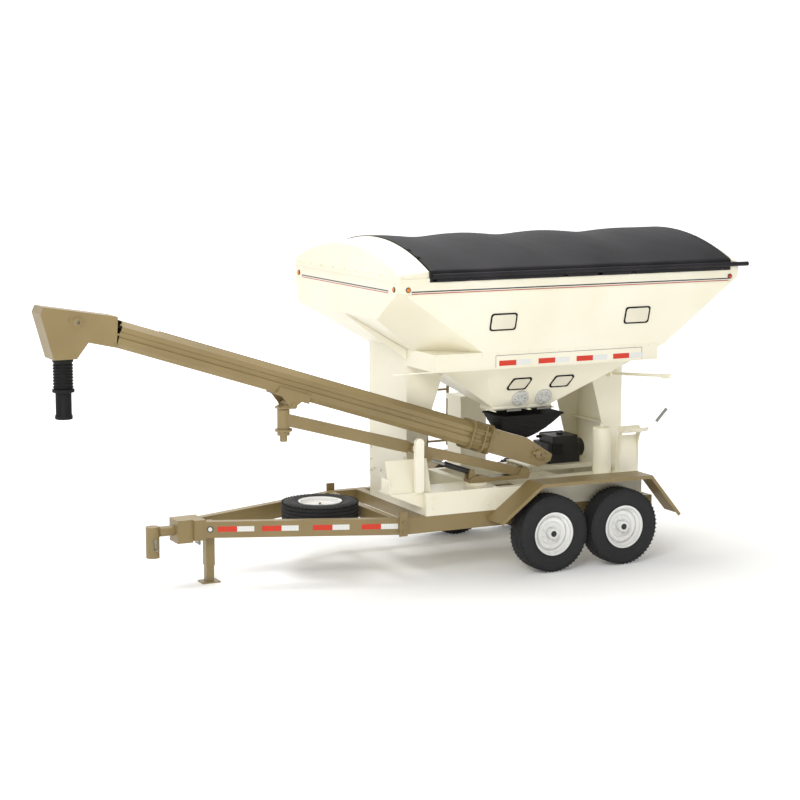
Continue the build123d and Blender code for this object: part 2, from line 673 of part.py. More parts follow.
# Crank: universal joint behind the roll tube, long shaft down to its holder, cranked grip
crank_rod_radius = 14
crank_grip_radius = 16
crank_eye_radius = 22
crank_eye_half = 20
crank_top = (roll_end_x + 30, roll_y - 30, roll_z - 10)
crank_low = (4400, roll_y - 55, 2010)
crank_knee = (crank_low[0] + 12, crank_low[1], 1600)
crank_grip_end = (crank_low[0] - 105, crank_low[1], 1480)
with BuildPart() as tarp_crank:
    rod(crank_top, crank_low, crank_rod_radius)
    with Locations(crank_top):
        Sphere(crank_eye_radius)
    eye_start = (crank_top[0] - crank_eye_half, crank_top[1], crank_top[2])
    eye_end = (crank_top[0] + crank_eye_half, crank_top[1], crank_top[2])
    rod(eye_start, eye_end, crank_rod_radius)
    rod(crank_low, crank_knee, crank_rod_radius)
    with Locations(crank_low, crank_knee):
        Sphere(crank_rod_radius)
    rod(crank_knee, crank_grip_end, crank_grip_radius)
finish(tarp_crank, "tarp_crank")

# Forked holder for the crank, carried by the rear leg
with BuildPart() as crank_holder:
    side_plate([(leg_rear_x - 180, 1830), (leg_rear_x - 100, 1830), (leg_rear_x - 100, 1900),
                (leg_rear_x - 180, 1900)], -leg_half - 60, -leg_half)
    rod((leg_rear_x - 140, -leg_half - 50, 1865), (4440, crank_low[1] + 30, 1925), 16)
    block(4370, 4460, crank_low[1] - 2, crank_low[1] + 34, 1900, 1950)
    block(4384, 4424, crank_low[1] - 3, crank_low[1] + 18, 1899, 1951, mode=Mode.SUBTRACT)

# Sight windows: two on the near wall, two on the near slope, each in a rubber seal
lean = atan2(hopper_half - belt_half, rim_bottom - belt_top)
wall_out = Vector(0, -cos(lean), -sin(lean))
windows = []
for x in (2636, 4160):
    centre = Vector(x, -hopper_half + near_lean * (rim_bottom - 2540), 2540)
    windows.append((centre, wall_out, 262, 150, 0))
for x in (2985, 3470):
    centre = Vector(x, -belt_half, belt_top) + near_down * ((belt_top - 1880) / (belt_top - outlet_z) * near_run)
    windows.append((centre, near_out, 200, 118, 55))


def window_outline(width, height, slant, grow):
    w, h = width / 2 + grow, height / 2 + grow
    with BuildLine() as line:
        FilletPolyline((-w - slant / 2, -h), (w - slant / 2, -h), (w + slant / 2, h), (-w + slant / 2, h),
                       close=True, radius=28)
    return line.line


with BuildPart() as sight_windows:
    for centre, outward, width, height, slant in windows:
        plane = Plane(origin=centre + outward * 0.2, x_dir=(1, 0, 0), z_dir=outward)
        with BuildSketch(plane) as pane:
            make_face(window_outline(width, height, slant, 0))
        extrude(pane.sketch, amount=5)
finish(sight_windows, "sight_windows")

with BuildPart() as window_seals:
    for centre, outward, width, height, slant in windows:
        plane = Plane(origin=centre + outward * 0.2, x_dir=(1, 0, 0), z_dir=outward)
        with BuildSketch(plane) as seal:
            make_face(window_outline(width, height, slant, 14))
            make_face(window_outline(width, height, slant, running_clearance), mode=Mode.SUBTRACT)
        extrude(seal.sketch, amount=8)
finish(window_seals, "window_seals")

with BuildPart() as marker_lights:
    lamp_z = rim_bottom + 50
    for y in (-1120, 1120):
        rod((hopper_front_x, y, lamp_z), (hopper_front_x - 22, y, lamp_z), 26)
        rod((hopper_rear_x, y, lamp_z), (hopper_rear_x + 22, y, lamp_z), 26)
    for x in (hopper_front_x + 100, hopper_rear_x - 100):
        for side in (-1, 1):
            rod((x, side * hopper_half, lamp_z), (x, side * (hopper_half + 22), lamp_z), 26)
finish(marker_lights, "marker_lights")

# ---------------------------------------------------------------- conveyor

def tube_outline(inset):
    """Fluted section: flat floor, side walls with a pressed band, and a ridged lid."""
    w = tube_width / 2 - inset
    h = tube_height / 2 - inset
    right = [(w - 40, -h), (w, -h + 40), (w, -30), (w - 14, -20), (w - 14, 20), (w, 30), (w, h - 50),
             (w - 50, h - 8), (w - 62, h)]
    left = [(-x, y) for x, y in right[::-1]]
    return right + left


def add_section(outline, s0, s1, mode=Mode.ADD):
    extrude(polygon_face(conveyor_section(s0), outline), amount=s1 - s0, mode=mode)


tube_head_s = -1480
tube_tail_s = 2560
with BuildPart() as conveyor_tube:
    add_section(tube_outline(0), tube_head_s, tube_tail_s)
    add_section(tube_outline(tube_sheet), tube_head_s - 1, tube_tail_s + 1, mode=Mode.SUBTRACT)
finish(conveyor_tube, "conveyor_tube")

with BuildPart() as tube_clamps:
    for s in (2330, 2470, tube_tail_s - 14):
        w = tube_width / 2 + 26
        h = tube_height / 2 + 26
        with BuildSketch(conveyor_section(s)) as flange:
            RectangleRounded(2 * w, 2 * h, 60)
        extrude(flange.sketch, amount=14)
    add_section(tube_outline(-running_clearance), 2300, tube_tail_s + 20, mode=Mode.SUBTRACT)
    for side in (-1, 1):
        for h in (-70, 70):
            start = conveyor_point(2344, h, side * (tube_width / 2 + 14))
            rod(start, conveyor_point(2470, h, side * (tube_width / 2 + 14)), 8)
finish(tube_clamps, "tube_clamps")

# Tail box with a tapered lid end; its top is open under the boot
top_h = tube_height / 2
tail_outline = [on_conveyor(tube_tail_s, -top_h), on_conveyor(tube_tail_s, top_h), on_conveyor(2960, top_h),
                on_conveyor(3290, top_h - 88), on_conveyor(3290, -30), on_conveyor(3180, -top_h)]
boot_foot = (2660, 2960)
with BuildPart() as tail_box:
    side_plate(tail_outline, conveyor_y - tube_width / 2, conveyor_y + tube_width / 2)
    inner_tail = [on_conveyor(tube_tail_s - 1, -top_h + sheet), on_conveyor(tube_tail_s - 1, top_h - sheet),
                  on_conveyor(2960 - 2, top_h - sheet), on_conveyor(3285, top_h - 88 - sheet),
                  on_conveyor(3285, -28), on_conveyor(3178, -top_h + sheet)]
    side_plate(inner_tail, conveyor_y - tube_width / 2 + sheet, conveyor_y + tube_width / 2 - sheet,
               mode=Mode.SUBTRACT)
    mouth = [on_conveyor(boot_foot[0], top_h - 30), on_conveyor(boot_foot[0], top_h + 30),
             on_conveyor(boot_foot[1], top_h + 30), on_conveyor(boot_foot[1], top_h - 30)]
    side_plate(mouth, conveyor_y - 90, conveyor_y + 90, mode=Mode.SUBTRACT)
    for side in (-1, 1):
        face_y = conveyor_y + side * tube_width / 2
        cx, cz = on_conveyor(tail_s, 0)
        rod((cx, face_y, cz), (cx, face_y + side * 18, cz), 42)
    rod((cx, conveyor_y - 200, cz), (cx, conveyor_y + 200, cz), 15 + shaft_clearance, mode=Mode.SUBTRACT)
finish(tail_box, "tail_box")

# Rubber intake boot, wide at the rim and closing on the mouth of the tail box
def boot_faces(inset):
    rim = polygon_face(Plane.XY.offset(boot_rim_z + (0.5 if inset else 0)),
                       [(boot_front_x + inset, conveyor_y - boot_half_width + inset),
                        (boot_rear_x - inset, conveyor_y - boot_half_width + inset),
                        (boot_rear_x - inset, conveyor_y + boot_half_width - inset),
                        (boot_front_x + inset, conveyor_y + boot_half_width - inset)])
    seat_h = top_h + (0 if not inset else -0.5)
    x0, z0 = on_conveyor(boot_foot[0] - 15 + inset, seat_h)
    lid = Plane(origin=(x0, conveyor_y, z0), x_dir=(cos(angle), 0, -sin(angle)), z_dir=(sin(angle), 0, cos(angle)))
    length = boot_foot[1] - boot_foot[0] + 30 - 2 * inset
    half = 105 - inset
    foot = polygon_face(lid, [(0, -half), (length, -half), (length, half), (0, half)])
    return foot, rim


with BuildPart() as intake_boot:
    loft(boot_faces(0))
    loft(boot_faces(7), mode=Mode.SUBTRACT)
finish(intake_boot, "intake_boot")

# Head hood over the discharge end, with the spout mouth underneath
hood_top = [(-1850, 2775), (-1822, 2838), (-1130, 2722)]
spout_x = -1612
spout_mouth_z = 2356
hood_outline = hood_top + [on_conveyor(tube_head_s, -top_h), (-1410, 2500), (-1522, spout_mouth_z),
                           (-1735, spout_mouth_z)]
with BuildPart() as head_hood:
    side_plate(hood_outline, conveyor_y - 140, conveyor_y + 140)
    inner_hood = [(-1843, 2775), (-1818, 2831), (-1125, 2714), on_conveyor(tube_head_s + 2, -top_h + 6),
                  (-1414, 2494), (-1524, spout_mouth_z + 8), (-1729, spout_mouth_z + 8)]
    side_plate(inner_hood, conveyor_y - 134, conveyor_y + 134, mode=Mode.SUBTRACT)
    hx, hz = on_conveyor(head_s, 0)
    rod((hx, conveyor_y - 200, hz), (hx, conveyor_y + 200, hz), 15 + shaft_clearance, mode=Mode.SUBTRACT)
    rod((spout_x, conveyor_y, spout_mouth_z - 10), (spout_x, conveyor_y, spout_mouth_z + 20), 80,
        mode=Mode.SUBTRACT)
    add_section(tube_outline(-running_clearance), tube_head_s - 1, tube_head_s + 400, mode=Mode.SUBTRACT)
finish(head_hood, "head_hood")

# Rubber spout: collar and corrugated sleeve, with a tube that slides up inside it
spout_radius = 94
spout_tube_radius = 73
sleeve_bottom = 2045
with BuildPart() as spout_sleeve:
    rod((spout_x, conveyor_y, spout_mouth_z), (spout_x, conveyor_y, sleeve_bottom), spout_radius - 8)
    for i in range(8):
        z = spout_mouth_z - 60 - i * 26
        rod((spout_x, conveyor_y, z), (spout_x, conveyor_y, z - 13), spout_radius)
    rod((spout_x, conveyor_y, spout_mouth_z), (spout_x, conveyor_y, spout_mouth_z - 26), spout_radius)
    rod((spout_x, conveyor_y, sleeve_bottom + 26), (spout_x, conveyor_y, sleeve_bottom), spout_radius + 8)
    rod((spout_x, conveyor_y, spout_mouth_z + 1), (spout_x, conveyor_y, sleeve_bottom - 1),
        spout_tube_radius + running_clearance, mode=Mode.SUBTRACT)
finish(spout_sleeve, "spout_sleeve")

with BuildPart() as spout_tube:
    ring((spout_x, conveyor_y, 2120), (spout_x, conveyor_y, 1800), spout_tube_radius, spout_tube_radius - 6)
    ring((spout_x, conveyor_y, 1822), (spout_x, conveyor_y, 1800), spout_tube_radius + 8, spout_tube_radius - 6)
finish(spout_tube, "spout_tube")


def loop_sketch(radius):
    """Race-track outline round both pulleys, in the conveyor's side plane."""
    head = Vector(*on_conveyor(head_s, 0))
    tail = Vector(*on_conveyor(tail_s, 0))
    up = Vector(sin(angle), cos(angle)) * radius
    back = Vector(cos(angle), -sin(angle)) * radius
    with BuildSketch(Plane.XZ.offset(-conveyor_y - 100)) as loop:
        with BuildLine():
            Line(head + up, tail + up)
            ThreePointArc(tail + up, tail + back, tail - up)
            Line(tail - up, head - up)
            ThreePointArc(head - up, head - back, head + up)
        make_face()
    return loop.sketch


inner_loop = pulley_radius + running_clearance
with BuildPart() as conveyor_belt:
    extrude(loop_sketch(inner_loop + belt_thickness), amount=200)
    extrude(loop_sketch(inner_loop), amount=200, mode=Mode.SUBTRACT)
finish(conveyor_belt, "conveyor_belt")

for pulley_name, pulley_s, reach in (("head_pulley", head_s, 141), ("tail_pulley", tail_s, 144)):
    px, pz = on_conveyor(pulley_s, 0)
    with BuildPart() as pulley:
        rod((px, conveyor_y - 104, pz), (px, conveyor_y + 104, pz), pulley_radius)
        rod((px, conveyor_y - reach, pz), (px, conveyor_y + reach, pz), 15)
    finish(pulley, pulley_name)

with BuildPart() as drive_motor:
    face_y = conveyor_y + 140
    rod((hx, face_y, hz), (hx, face_y + 22, hz), 62)
    rod((hx, face_y + 22, hz), (hx, face_y + 130, hz), 44)
    block(hx - 34, hx + 34, face_y + 60, face_y + 120, hz + 20, hz + 62)
    rod((hx, face_y, hz), (hx, face_y + 18, hz), 15 + shaft_clearance, mode=Mode.SUBTRACT)
finish(drive_motor, "drive_motor")

# Saddle under the tube, with two ears for the tilt pin
pin_x, pin_z = 590, 1800
saddle = (180, 520)
with BuildPart() as conveyor_saddle:
    add_section([(-142, -60), (142, -60), (142, -142), (-142, -142)], saddle[0], saddle[1])
    add_section(tube_outline(-running_clearance), saddle[0] - 1, saddle[1] + 1, mode=Mode.SUBTRACT)
    for y in (-142, 130):
        ear_root = [on_conveyor(saddle[0] + 20, -120), on_conveyor(saddle[1] - 60, -120), (pin_x + 42, pin_z),
                    (pin_x + 30, pin_z - 32), (pin_x - 30, pin_z - 32), (pin_x - 42, pin_z)]
        side_plate(ear_root, conveyor_y + y, conveyor_y + y + 12)
    add_section(tube_outline(-running_clearance), saddle[0] - 200, saddle[1] + 200, mode=Mode.SUBTRACT)
    rod((pin_x, conveyor_y - 160, pin_z), (pin_x, conveyor_y - 110, pin_z), arm_pin_radius + shaft_clearance,
        mode=Mode.SUBTRACT)
    rod((pin_x, conveyor_y + 110, pin_z), (pin_x, conveyor_y + 160, pin_z), arm_pin_radius + shaft_clearance,
        mode=Mode.SUBTRACT)
finish(conveyor_saddle, "conveyor_saddle")

# Knuckle: cross pin for the tilt, and a vertical pin that swivels in the arm's socket
knuckle_bottom = 1756
with BuildPart() as knuckle:
    rod((pin_x, conveyor_y - 150, pin_z), (pin_x, conveyor_y + 150, pin_z), arm_pin_radius)
    side_plate([(pin_x - 38, pin_z), (pin_x - 28, pin_z + 28), (pin_x + 28, pin_z + 28), (pin_x + 38, pin_z),
                (arm_front_x + 62, knuckle_bottom), (arm_front_x - 62, knuckle_bottom), (arm_front_x - 62, 1775)],
               conveyor_y - 60, conveyor_y + 60)
    rod((arm_front_x, conveyor_y, knuckle_bottom + 10), (arm_front_x, conveyor_y, 1440), knuckle_pin_radius)
finish(knuckle, "knuckle")

arm_run = hypot(arm_hinge_x - arm_front_x, arm_front_z - arm_hinge_z)
arm_along = Vector((arm_hinge_x - arm_front_x) / arm_run, 0, -(arm_front_z - arm_hinge_z) / arm_run)
arm_up = Vector(-arm_along.Z, 0, arm_along.X)


def on_arm(s, h):
    place = Vector(arm_front_x, 0, arm_front_z) + arm_along * s + arm_up * h
    return (place.X, place.Z)


def arm_bar(s0, s1, height, half_width, mode=Mode.ADD):
    points = [on_arm(s0, -height / 2), on_arm(s1, -height / 2), on_arm(s1, height / 2), on_arm(s0, height / 2)]
    side_plate(points, conveyor_y - half_width, conveyor_y + half_width, mode=mode)


sleeve_end_s = 1360
lift_top_x, lift_top_z = 2090, 1150
lift_foot_x, lift_foot_z = 2562, 985
with BuildPart() as swing_arm:
    arm_bar(0, sleeve_end_s, 116, 52)
    arm_bar(sleeve_end_s, arm_run - 40, 92, 42)
    arm_bar(90, sleeve_end_s - 10, 100, 44, mode=Mode.SUBTRACT)
    arm_bar(sleeve_end_s + 2, arm_run - 90, 76, 34, mode=Mode.SUBTRACT)
    rod((arm_front_x, conveyor_y, 1500), (arm_front_x, conveyor_y, 1748), 60)
    rod((arm_front_x, conveyor_y, 1540), (arm_front_x, conveyor_y, 1560), 84)
    rod((arm_front_x, conveyor_y, 1400), (arm_front_x, conveyor_y, 1800), knuckle_pin_radius + shaft_clearance,
        mode=Mode.SUBTRACT)
    rod((arm_hinge_x, conveyor_y - 42, arm_hinge_z), (arm_hinge_x, conveyor_y + 42, arm_hinge_z), 44)
    for y in (-28, 18):
        lug = [(lift_top_x - 50, 1200), (lift_top_x - 26, lift_top_z - 12), (lift_top_x, lift_top_z - 26),
               (lift_top_x + 26, lift_top_z - 12), (lift_top_x + 50, 1190)]
        side_plate(lug, conveyor_y + y, conveyor_y + y + 10)
    rod((lift_top_x, conveyor_y - 28, lift_top_z), (lift_top_x, conveyor_y + 28, lift_top_z), 12)
    rod((arm_hinge_x, conveyor_y - 60, arm_hinge_z), (arm_hinge_x, conveyor_y + 60, arm_hinge_z),
        arm_pin_radius + shaft_clearance, mode=Mode.SUBTRACT)

# Rounded prop on the outside of the arm: it stands over the front cradle and leaves with the arm
prop_x = 1906
prop_y = conveyor_y - 152
with BuildPart() as arm_prop:
    block(prop_x - 46, prop_x + 46, prop_y - 42, prop_y, base_top + 9, 1350)
    rod((prop_x, prop_y - 42, 1350), (prop_x, prop_y, 1350), 46)
    block(prop_x - 30, prop_x + 30, prop_y, conveyor_y - 42, 1262, 1312)

# Turret: bearing on the base, swivel post, beam back to the arm hinge
bearing_top = base_top + 8 + 24
with BuildPart() as turret_bearing:
    ring((turret_x, conveyor_y, base_top + 8), (turret_x, conveyor_y, bearing_top), 112, 40 + shaft_clearance)

turret_floor = bearing_top + 0.5
with BuildPart() as turret:
    rod((turret_x, conveyor_y, base_top + 10), (turret_x, conveyor_y, turret_floor + 30), 40)
    side_plate([(turret_x - 110, turret_floor), (arm_hinge_x + 40, turret_floor), (arm_hinge_x + 66, arm_hinge_z),
                (arm_hinge_x + 34, arm_hinge_z + 58), (arm_hinge_x - 34, arm_hinge_z + 58),
                (arm_hinge_x - 70, arm_hinge_z - 10), (turret_x + 150, turret_floor + 40),
                (turret_x + 40, turret_floor + 62), (turret_x - 70, turret_floor + 62),
                (turret_x - 110, turret_floor + 30)], conveyor_y - 66, conveyor_y + 66)
    rod((arm_hinge_x, conveyor_y - 44, arm_hinge_z), (arm_hinge_x, conveyor_y + 44, arm_hinge_z), 46,
        mode=Mode.SUBTRACT)
    block(arm_hinge_x - 220, arm_hinge_x + 80, conveyor_y - 44, conveyor_y + 44, turret_floor + 8, arm_hinge_z + 90,
          mode=Mode.SUBTRACT)
    block(turret_x - 160, turret_x + 140, conveyor_y - 30, conveyor_y + 30, turret_floor + 30, turret_floor + 90,
          mode=Mode.SUBTRACT)
    rod((arm_hinge_x, conveyor_y - 66, arm_hinge_z), (arm_hinge_x, conveyor_y + 66, arm_hinge_z), arm_pin_radius)
    for y in (-50, 30):
        ear = [(turret_x - 110, turret_floor + 30), (turret_x - 20, turret_floor + 30), (lift_foot_x + 34, lift_foot_z),
               (lift_foot_x + 20, lift_foot_z + 28), (lift_foot_x - 20, lift_foot_z + 28),
               (lift_foot_x - 30, lift_foot_z)]
        side_plate(ear, conveyor_y + y, conveyor_y + y + 20)
    rod((lift_foot_x, conveyor_y - 50, lift_foot_z), (lift_foot_x, conveyor_y + 50, lift_foot_z), 15)
finish(turret, "turret")

# Lift cylinder between the turret and the lug under the arm
lift_run = hypot(lift_top_x - lift_foot_x, lift_top_z - lift_foot_z)


def on_lift(s):
    share = s / lift_run
    return (lift_foot_x + (lift_top_x - lift_foot_x) * share, conveyor_y,
            lift_foot_z + (lift_top_z - lift_foot_z) * share)


with BuildPart() as lift_barrel:
    rod((lift_foot_x, conveyor_y - 28, lift_foot_z), (lift_foot_x, conveyor_y + 28, lift_foot_z), 25)
    rod(on_lift(18), on_lift(300), 28)
    rod(on_lift(60), on_lift(301), 14 + shaft_clearance, mode=Mode.SUBTRACT)
    rod((lift_foot_x, conveyor_y - 30, lift_foot_z), (lift_foot_x, conveyor_y + 30, lift_foot_z),
        15 + shaft_clearance, mode=Mode.SUBTRACT)
finish(lift_barrel, "lift_barrel")

with BuildPart() as lift_rod:
    rod(on_lift(80), on_lift(lift_run - 10), 14)
    rod((lift_top_x, conveyor_y - 16, lift_top_z), (lift_top_x, conveyor_y + 16, lift_top_z), 23)
    rod((lift_top_x, conveyor_y - 18, lift_top_z), (lift_top_x, conveyor_y + 18, lift_top_z), 13.2,
        mode=Mode.SUBTRACT)
finish(lift_rod, "lift_rod")

# ---------------------------------------------------------------- cradles and equipment

# Front cradle: leaning plate on a shelf in front of the base; rear cradle: two posts under a curved saddle
with BuildPart() as front_cradle:
    shelf_top = base_top + 8
    block(1600, base_front_x, -770, -500, base_top, shelf_top)
    for y in (-770, -508):
        side_plate([(1600, base_top), (base_front_x, base_top), (base_front_x, base_top - 150)], y, y + 8)
    cross_plate([(-748, shelf_top), (-740, shelf_top), (-640, 1170), (-648, 1170)], 1600, 2050)
    block(1600, 1608, -740, -560, shelf_top, 1000)

saddle_x = (4205, 4425)
with BuildPart() as rear_cradle:
    for x in saddle_x:
        cross_plate([(-780, base_top + 8), (-700, base_top + 8), (-740, 1260), (-800, 1360), (-830, 1300),
                     (-790, 1200)], x - 4, x + 4)
    arc_y, arc_z, arc_r = -850, 1410, 105
    for turn in range(-60, 60, 20):
        corners = []
        for radius, bend in ((arc_r, turn), (arc_r, turn + 20), (arc_r + 8, turn + 20), (arc_r + 8, turn)):
            corners.append((arc_y + radius * sin(radians(bend)), arc_z - radius * cos(radians(bend))))
        cross_plate(corners, saddle_x[0] - 25, saddle_x[1] + 25)
finish_joined("cradles", front_cradle, rear_cradle)

with BuildPart() as oil_tank:
    rod((4090, -620, base_top + 8), (4090, -620, 1340), 95)
    fillet(oil_tank.edges().filter_by(GeomType.CIRCLE).group_by(Axis.Z)[-1], 18)
    rod((4090, -620, 1330), (4090, -620, 1372), 24)
    rod((4090, -620, base_top + 12), (4090, -620, 1320), 91, mode=Mode.SUBTRACT)
finish(oil_tank, "oil_tank")

# Engine on the deck: block, shroud, tank, muffler and pump
deck_top = base_top + 45
with BuildPart() as engine:
    block(3760, 4140, -110, 230, deck_top, deck_top + 210)
    block(3700, 3760, -60, 180, deck_top, deck_top + 120)
    block(3800, 4100, -130, 130, deck_top + 210, deck_top + 290)
    fillet(engine.edges().filter_by(Axis.Z), 14)
    rod((4140, 60, deck_top + 130), (4235, 60, deck_top + 130), 95)
    rod((3830, 180, deck_top + 250), (4090, 180, deck_top + 250), 46)
    rod((3640, 60, deck_top + 60), (3700, 60, deck_top + 60), 42)
    rod((3950, 0, deck_top + 290), (3950, 0, deck_top + 312), 34)
finish(engine, "engine")

with BuildPart() as tool_box:
    block(2960, 3260, leg_half - 80, leg_half + 220, base_top, 1570)
    block(2950, 3270, leg_half - 90, leg_half + 230, 1545, 1600)
    void(2960, 3260, leg_half - 80, leg_half + 220, base_top, 1600, 4)
    for z in (1050, 1350):
        block(3100, 3130, leg_half + 220, leg_half + 232, z, z + 60)
finish(tool_box, "tool_box")

with BuildPart() as ladder:
    for x in (2950, 3200):
        rod((x, 1110, 960), (x, 1110, 2700), 16)
    for i in range(6):
        rod((2950, 1110, 1010 + i * 280), (3200, 1110, 1010 + i * 280), 12)
    add_hopper_body(0, rim_top, hopper_front_x, hopper_rear_x, mode=Mode.SUBTRACT)
finish(ladder, "ladder")

spare_z = spare_bottom + tyre_width / 2 + 1.5
spare_plane = Plane(origin=(spare_x, 0, spare_z), x_dir=(0, 0, 1), z_dir=(0, -1, 0))
spare_axis = Axis((spare_x, 0, spare_z), (0, 0, 1))
with BuildPart() as spare_tyre:
    add_tyre(spare_plane, spare_axis)
finish(spare_tyre, "spare_tyre")

with BuildPart() as spare_rim:
    add_rim(spare_plane, spare_axis, 28, 1)
    for i in range(stud_count):
        turn = radians(360 / stud_count * i + 22.5)
        hole = (spare_x + stud_circle_radius * cos(turn), stud_circle_radius * sin(turn))
        rod((*hole, spare_z - 20), (*hole, spare_z + 80), 8, mode=Mode.SUBTRACT)
finish(spare_rim, "spare_rim")

clamp_z = spare_z + 28 + 9
with BuildPart() as spare_clamp:
    rod((spare_x, 0, spare_bottom), (spare_x, 0, clamp_z + 50), 12)
    block(spare_x - 16, spare_x + 16, -72, 72, clamp_z, clamp_z + 10)
    rod((spare_x, 0, clamp_z + 10), (spare_x, 0, clamp_z + 28), 20)
    block(spare_x - 40, spare_x + 40, -6, 6, clamp_z + 12, clamp_z + 30)

finish_joined("main_rails", main_rails, splice_plates)
finish_joined("cross_members", cross_members, spare_clamp)
finish_joined("hitch_head", hitch_head, hitch_post)
finish_joined("axle_beams", axle_beams, axle_hangers)
finish_joined("base_frame", base_frame, engine_deck, turret_bearing)
finish_joined("hopper_legs", front_leg, rear_leg, crank_holder)
finish_joined("hopper_belt", hopper_belt, front_gusset)
finish_joined("swing_arm", swing_arm, arm_prop)
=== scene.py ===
import bpy
import bmesh
import json
import math
import random
from mathutils import Matrix, Vector


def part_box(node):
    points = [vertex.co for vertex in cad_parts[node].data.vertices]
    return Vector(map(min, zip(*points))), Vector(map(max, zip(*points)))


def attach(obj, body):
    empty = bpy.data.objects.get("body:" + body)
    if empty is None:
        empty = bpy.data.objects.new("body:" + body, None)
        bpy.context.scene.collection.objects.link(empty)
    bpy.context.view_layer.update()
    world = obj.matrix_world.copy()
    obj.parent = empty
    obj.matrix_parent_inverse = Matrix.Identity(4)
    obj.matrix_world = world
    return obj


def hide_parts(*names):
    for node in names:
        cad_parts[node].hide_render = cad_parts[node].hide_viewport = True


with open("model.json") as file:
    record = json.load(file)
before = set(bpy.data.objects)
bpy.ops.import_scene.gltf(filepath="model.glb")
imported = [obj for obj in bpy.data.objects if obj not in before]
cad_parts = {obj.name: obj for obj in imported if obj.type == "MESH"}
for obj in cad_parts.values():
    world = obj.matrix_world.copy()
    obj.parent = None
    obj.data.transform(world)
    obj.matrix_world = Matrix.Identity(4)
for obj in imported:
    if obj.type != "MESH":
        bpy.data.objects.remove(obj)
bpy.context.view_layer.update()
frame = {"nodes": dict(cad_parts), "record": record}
nodes = frame["nodes"]
print("frame loaded:", len(nodes), "nodes")


# ---- small helpers

def srgb(hexColour):
    # hex as given, turned to the linear values that shaders use
    parts = [int(hexColour[i:i + 2], 16) / 255 for i in (1, 3, 5)]
    linear = [p / 12.92 if p <= 0.04045 else ((p + 0.055) / 1.055) ** 2.4 for p in parts]
    return (*linear, 1)


def addNode(tree, kind, settings=None, links=None):
    # links maps an input's name or index to another node's output socket
    node = tree.nodes.new(kind)
    for key, value in (settings or {}).items():
        if key.startswith("in:"):
            name = key[3:]
            node.inputs[int(name) if name.isdigit() else name].default_value = value
        else:
            setattr(node, key, value)
    for key, socket in (links or {}).items():
        tree.links.new(socket, node.inputs[key])
    return node


def newMaterial(name):
    material = bpy.data.materials.new(name)
    material.use_nodes = True
    tree = material.node_tree
    tree.nodes.clear()
    shader = addNode(tree, "ShaderNodeBsdfPrincipled")
    addNode(tree, "ShaderNodeOutputMaterial", links={"Surface": shader.outputs[0]})
    coords = addNode(tree, "ShaderNodeTexCoord")
    return material, tree, shader, coords.outputs["Object"]


def perMetre(millimetres):
    # texture scale that repeats about once in this many millimetres
    return 1000 / millimetres


def smoothMesh(name, bm, materials, body, smooth=True, angle=35):
    bmesh.ops.remove_doubles(bm, verts=bm.verts, dist=0.00005)
    mesh = bpy.data.meshes.new(name)
    bm.to_mesh(mesh)
    bm.free()
    piece = bpy.data.objects.new(name, mesh)
    bpy.context.scene.collection.objects.link(piece)
    for material in materials:
        mesh.materials.append(material)
    if smooth:
        for face in mesh.polygons:
            face.use_smooth = True
        mesh.set_sharp_from_angle(angle=math.radians(angle))
    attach(piece, body)
    return piece


def latheInto(bm, profile, centre, axis, steps=48, close=False, materialIndex=0):
    # profile is (along the axis, radius) pairs; a radius of 0 closes the end
    axis = Vector(axis).normalized()
    side = axis.orthogonal().normalized()
    other = axis.cross(side)
    rings = []
    for along, radius in profile:
        base = Vector(centre) + axis * along
        if radius < 1e-6:
            rings.append([bm.verts.new(base)])
            continue
        ring = []
        for i in range(steps):
            turn = 2 * math.pi * i / steps
            ring.append(bm.verts.new(base + (side * math.cos(turn) + other * math.sin(turn)) * radius))
        rings.append(ring)
    pairs = list(zip(rings, rings[1:]))
    if close:
        pairs.append((rings[-1], rings[0]))
    made = []
    for a, b in pairs:
        for i in range(steps):
            j = (i + 1) % steps
            if len(a) == 1 and len(b) == 1:
                continue
            if len(a) == 1:
                made.append(bm.faces.new((a[0], b[j], b[i])))
            elif len(b) == 1:
                made.append(bm.faces.new((a[i], a[j], b[0])))
            else:
                made.append(bm.faces.new((a[i], a[j], b[j], b[i])))
    for face in made:
        face.material_index = materialIndex
    bmesh.ops.recalc_face_normals(bm, faces=made)
    return made


def slabInto(bm, origin, along, across, thick, materialIndex=0):
    # a flat bar from one corner and its three edge vectors
    origin, along, across, thick = Vector(origin), Vector(along), Vector(across), Vector(thick)
    corners = []
    for k in (0, 1):
        for j in (0, 1):
            for i in (0, 1):
                corners.append(bm.verts.new(origin + along * i + across * j + thick * k))
    quads = ((0, 1, 3, 2), (4, 5, 7, 6), (0, 1, 5, 4), (2, 3, 7, 6), (0, 2, 6, 4), (1, 3, 7, 5))
    made = [bm.faces.new([corners[i] for i in quad]) for quad in quads]
    for face in made:
        face.material_index = materialIndex
    bmesh.ops.recalc_face_normals(bm, faces=made)
    return made


def place(piece):
    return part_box(piece)


# ---- materials

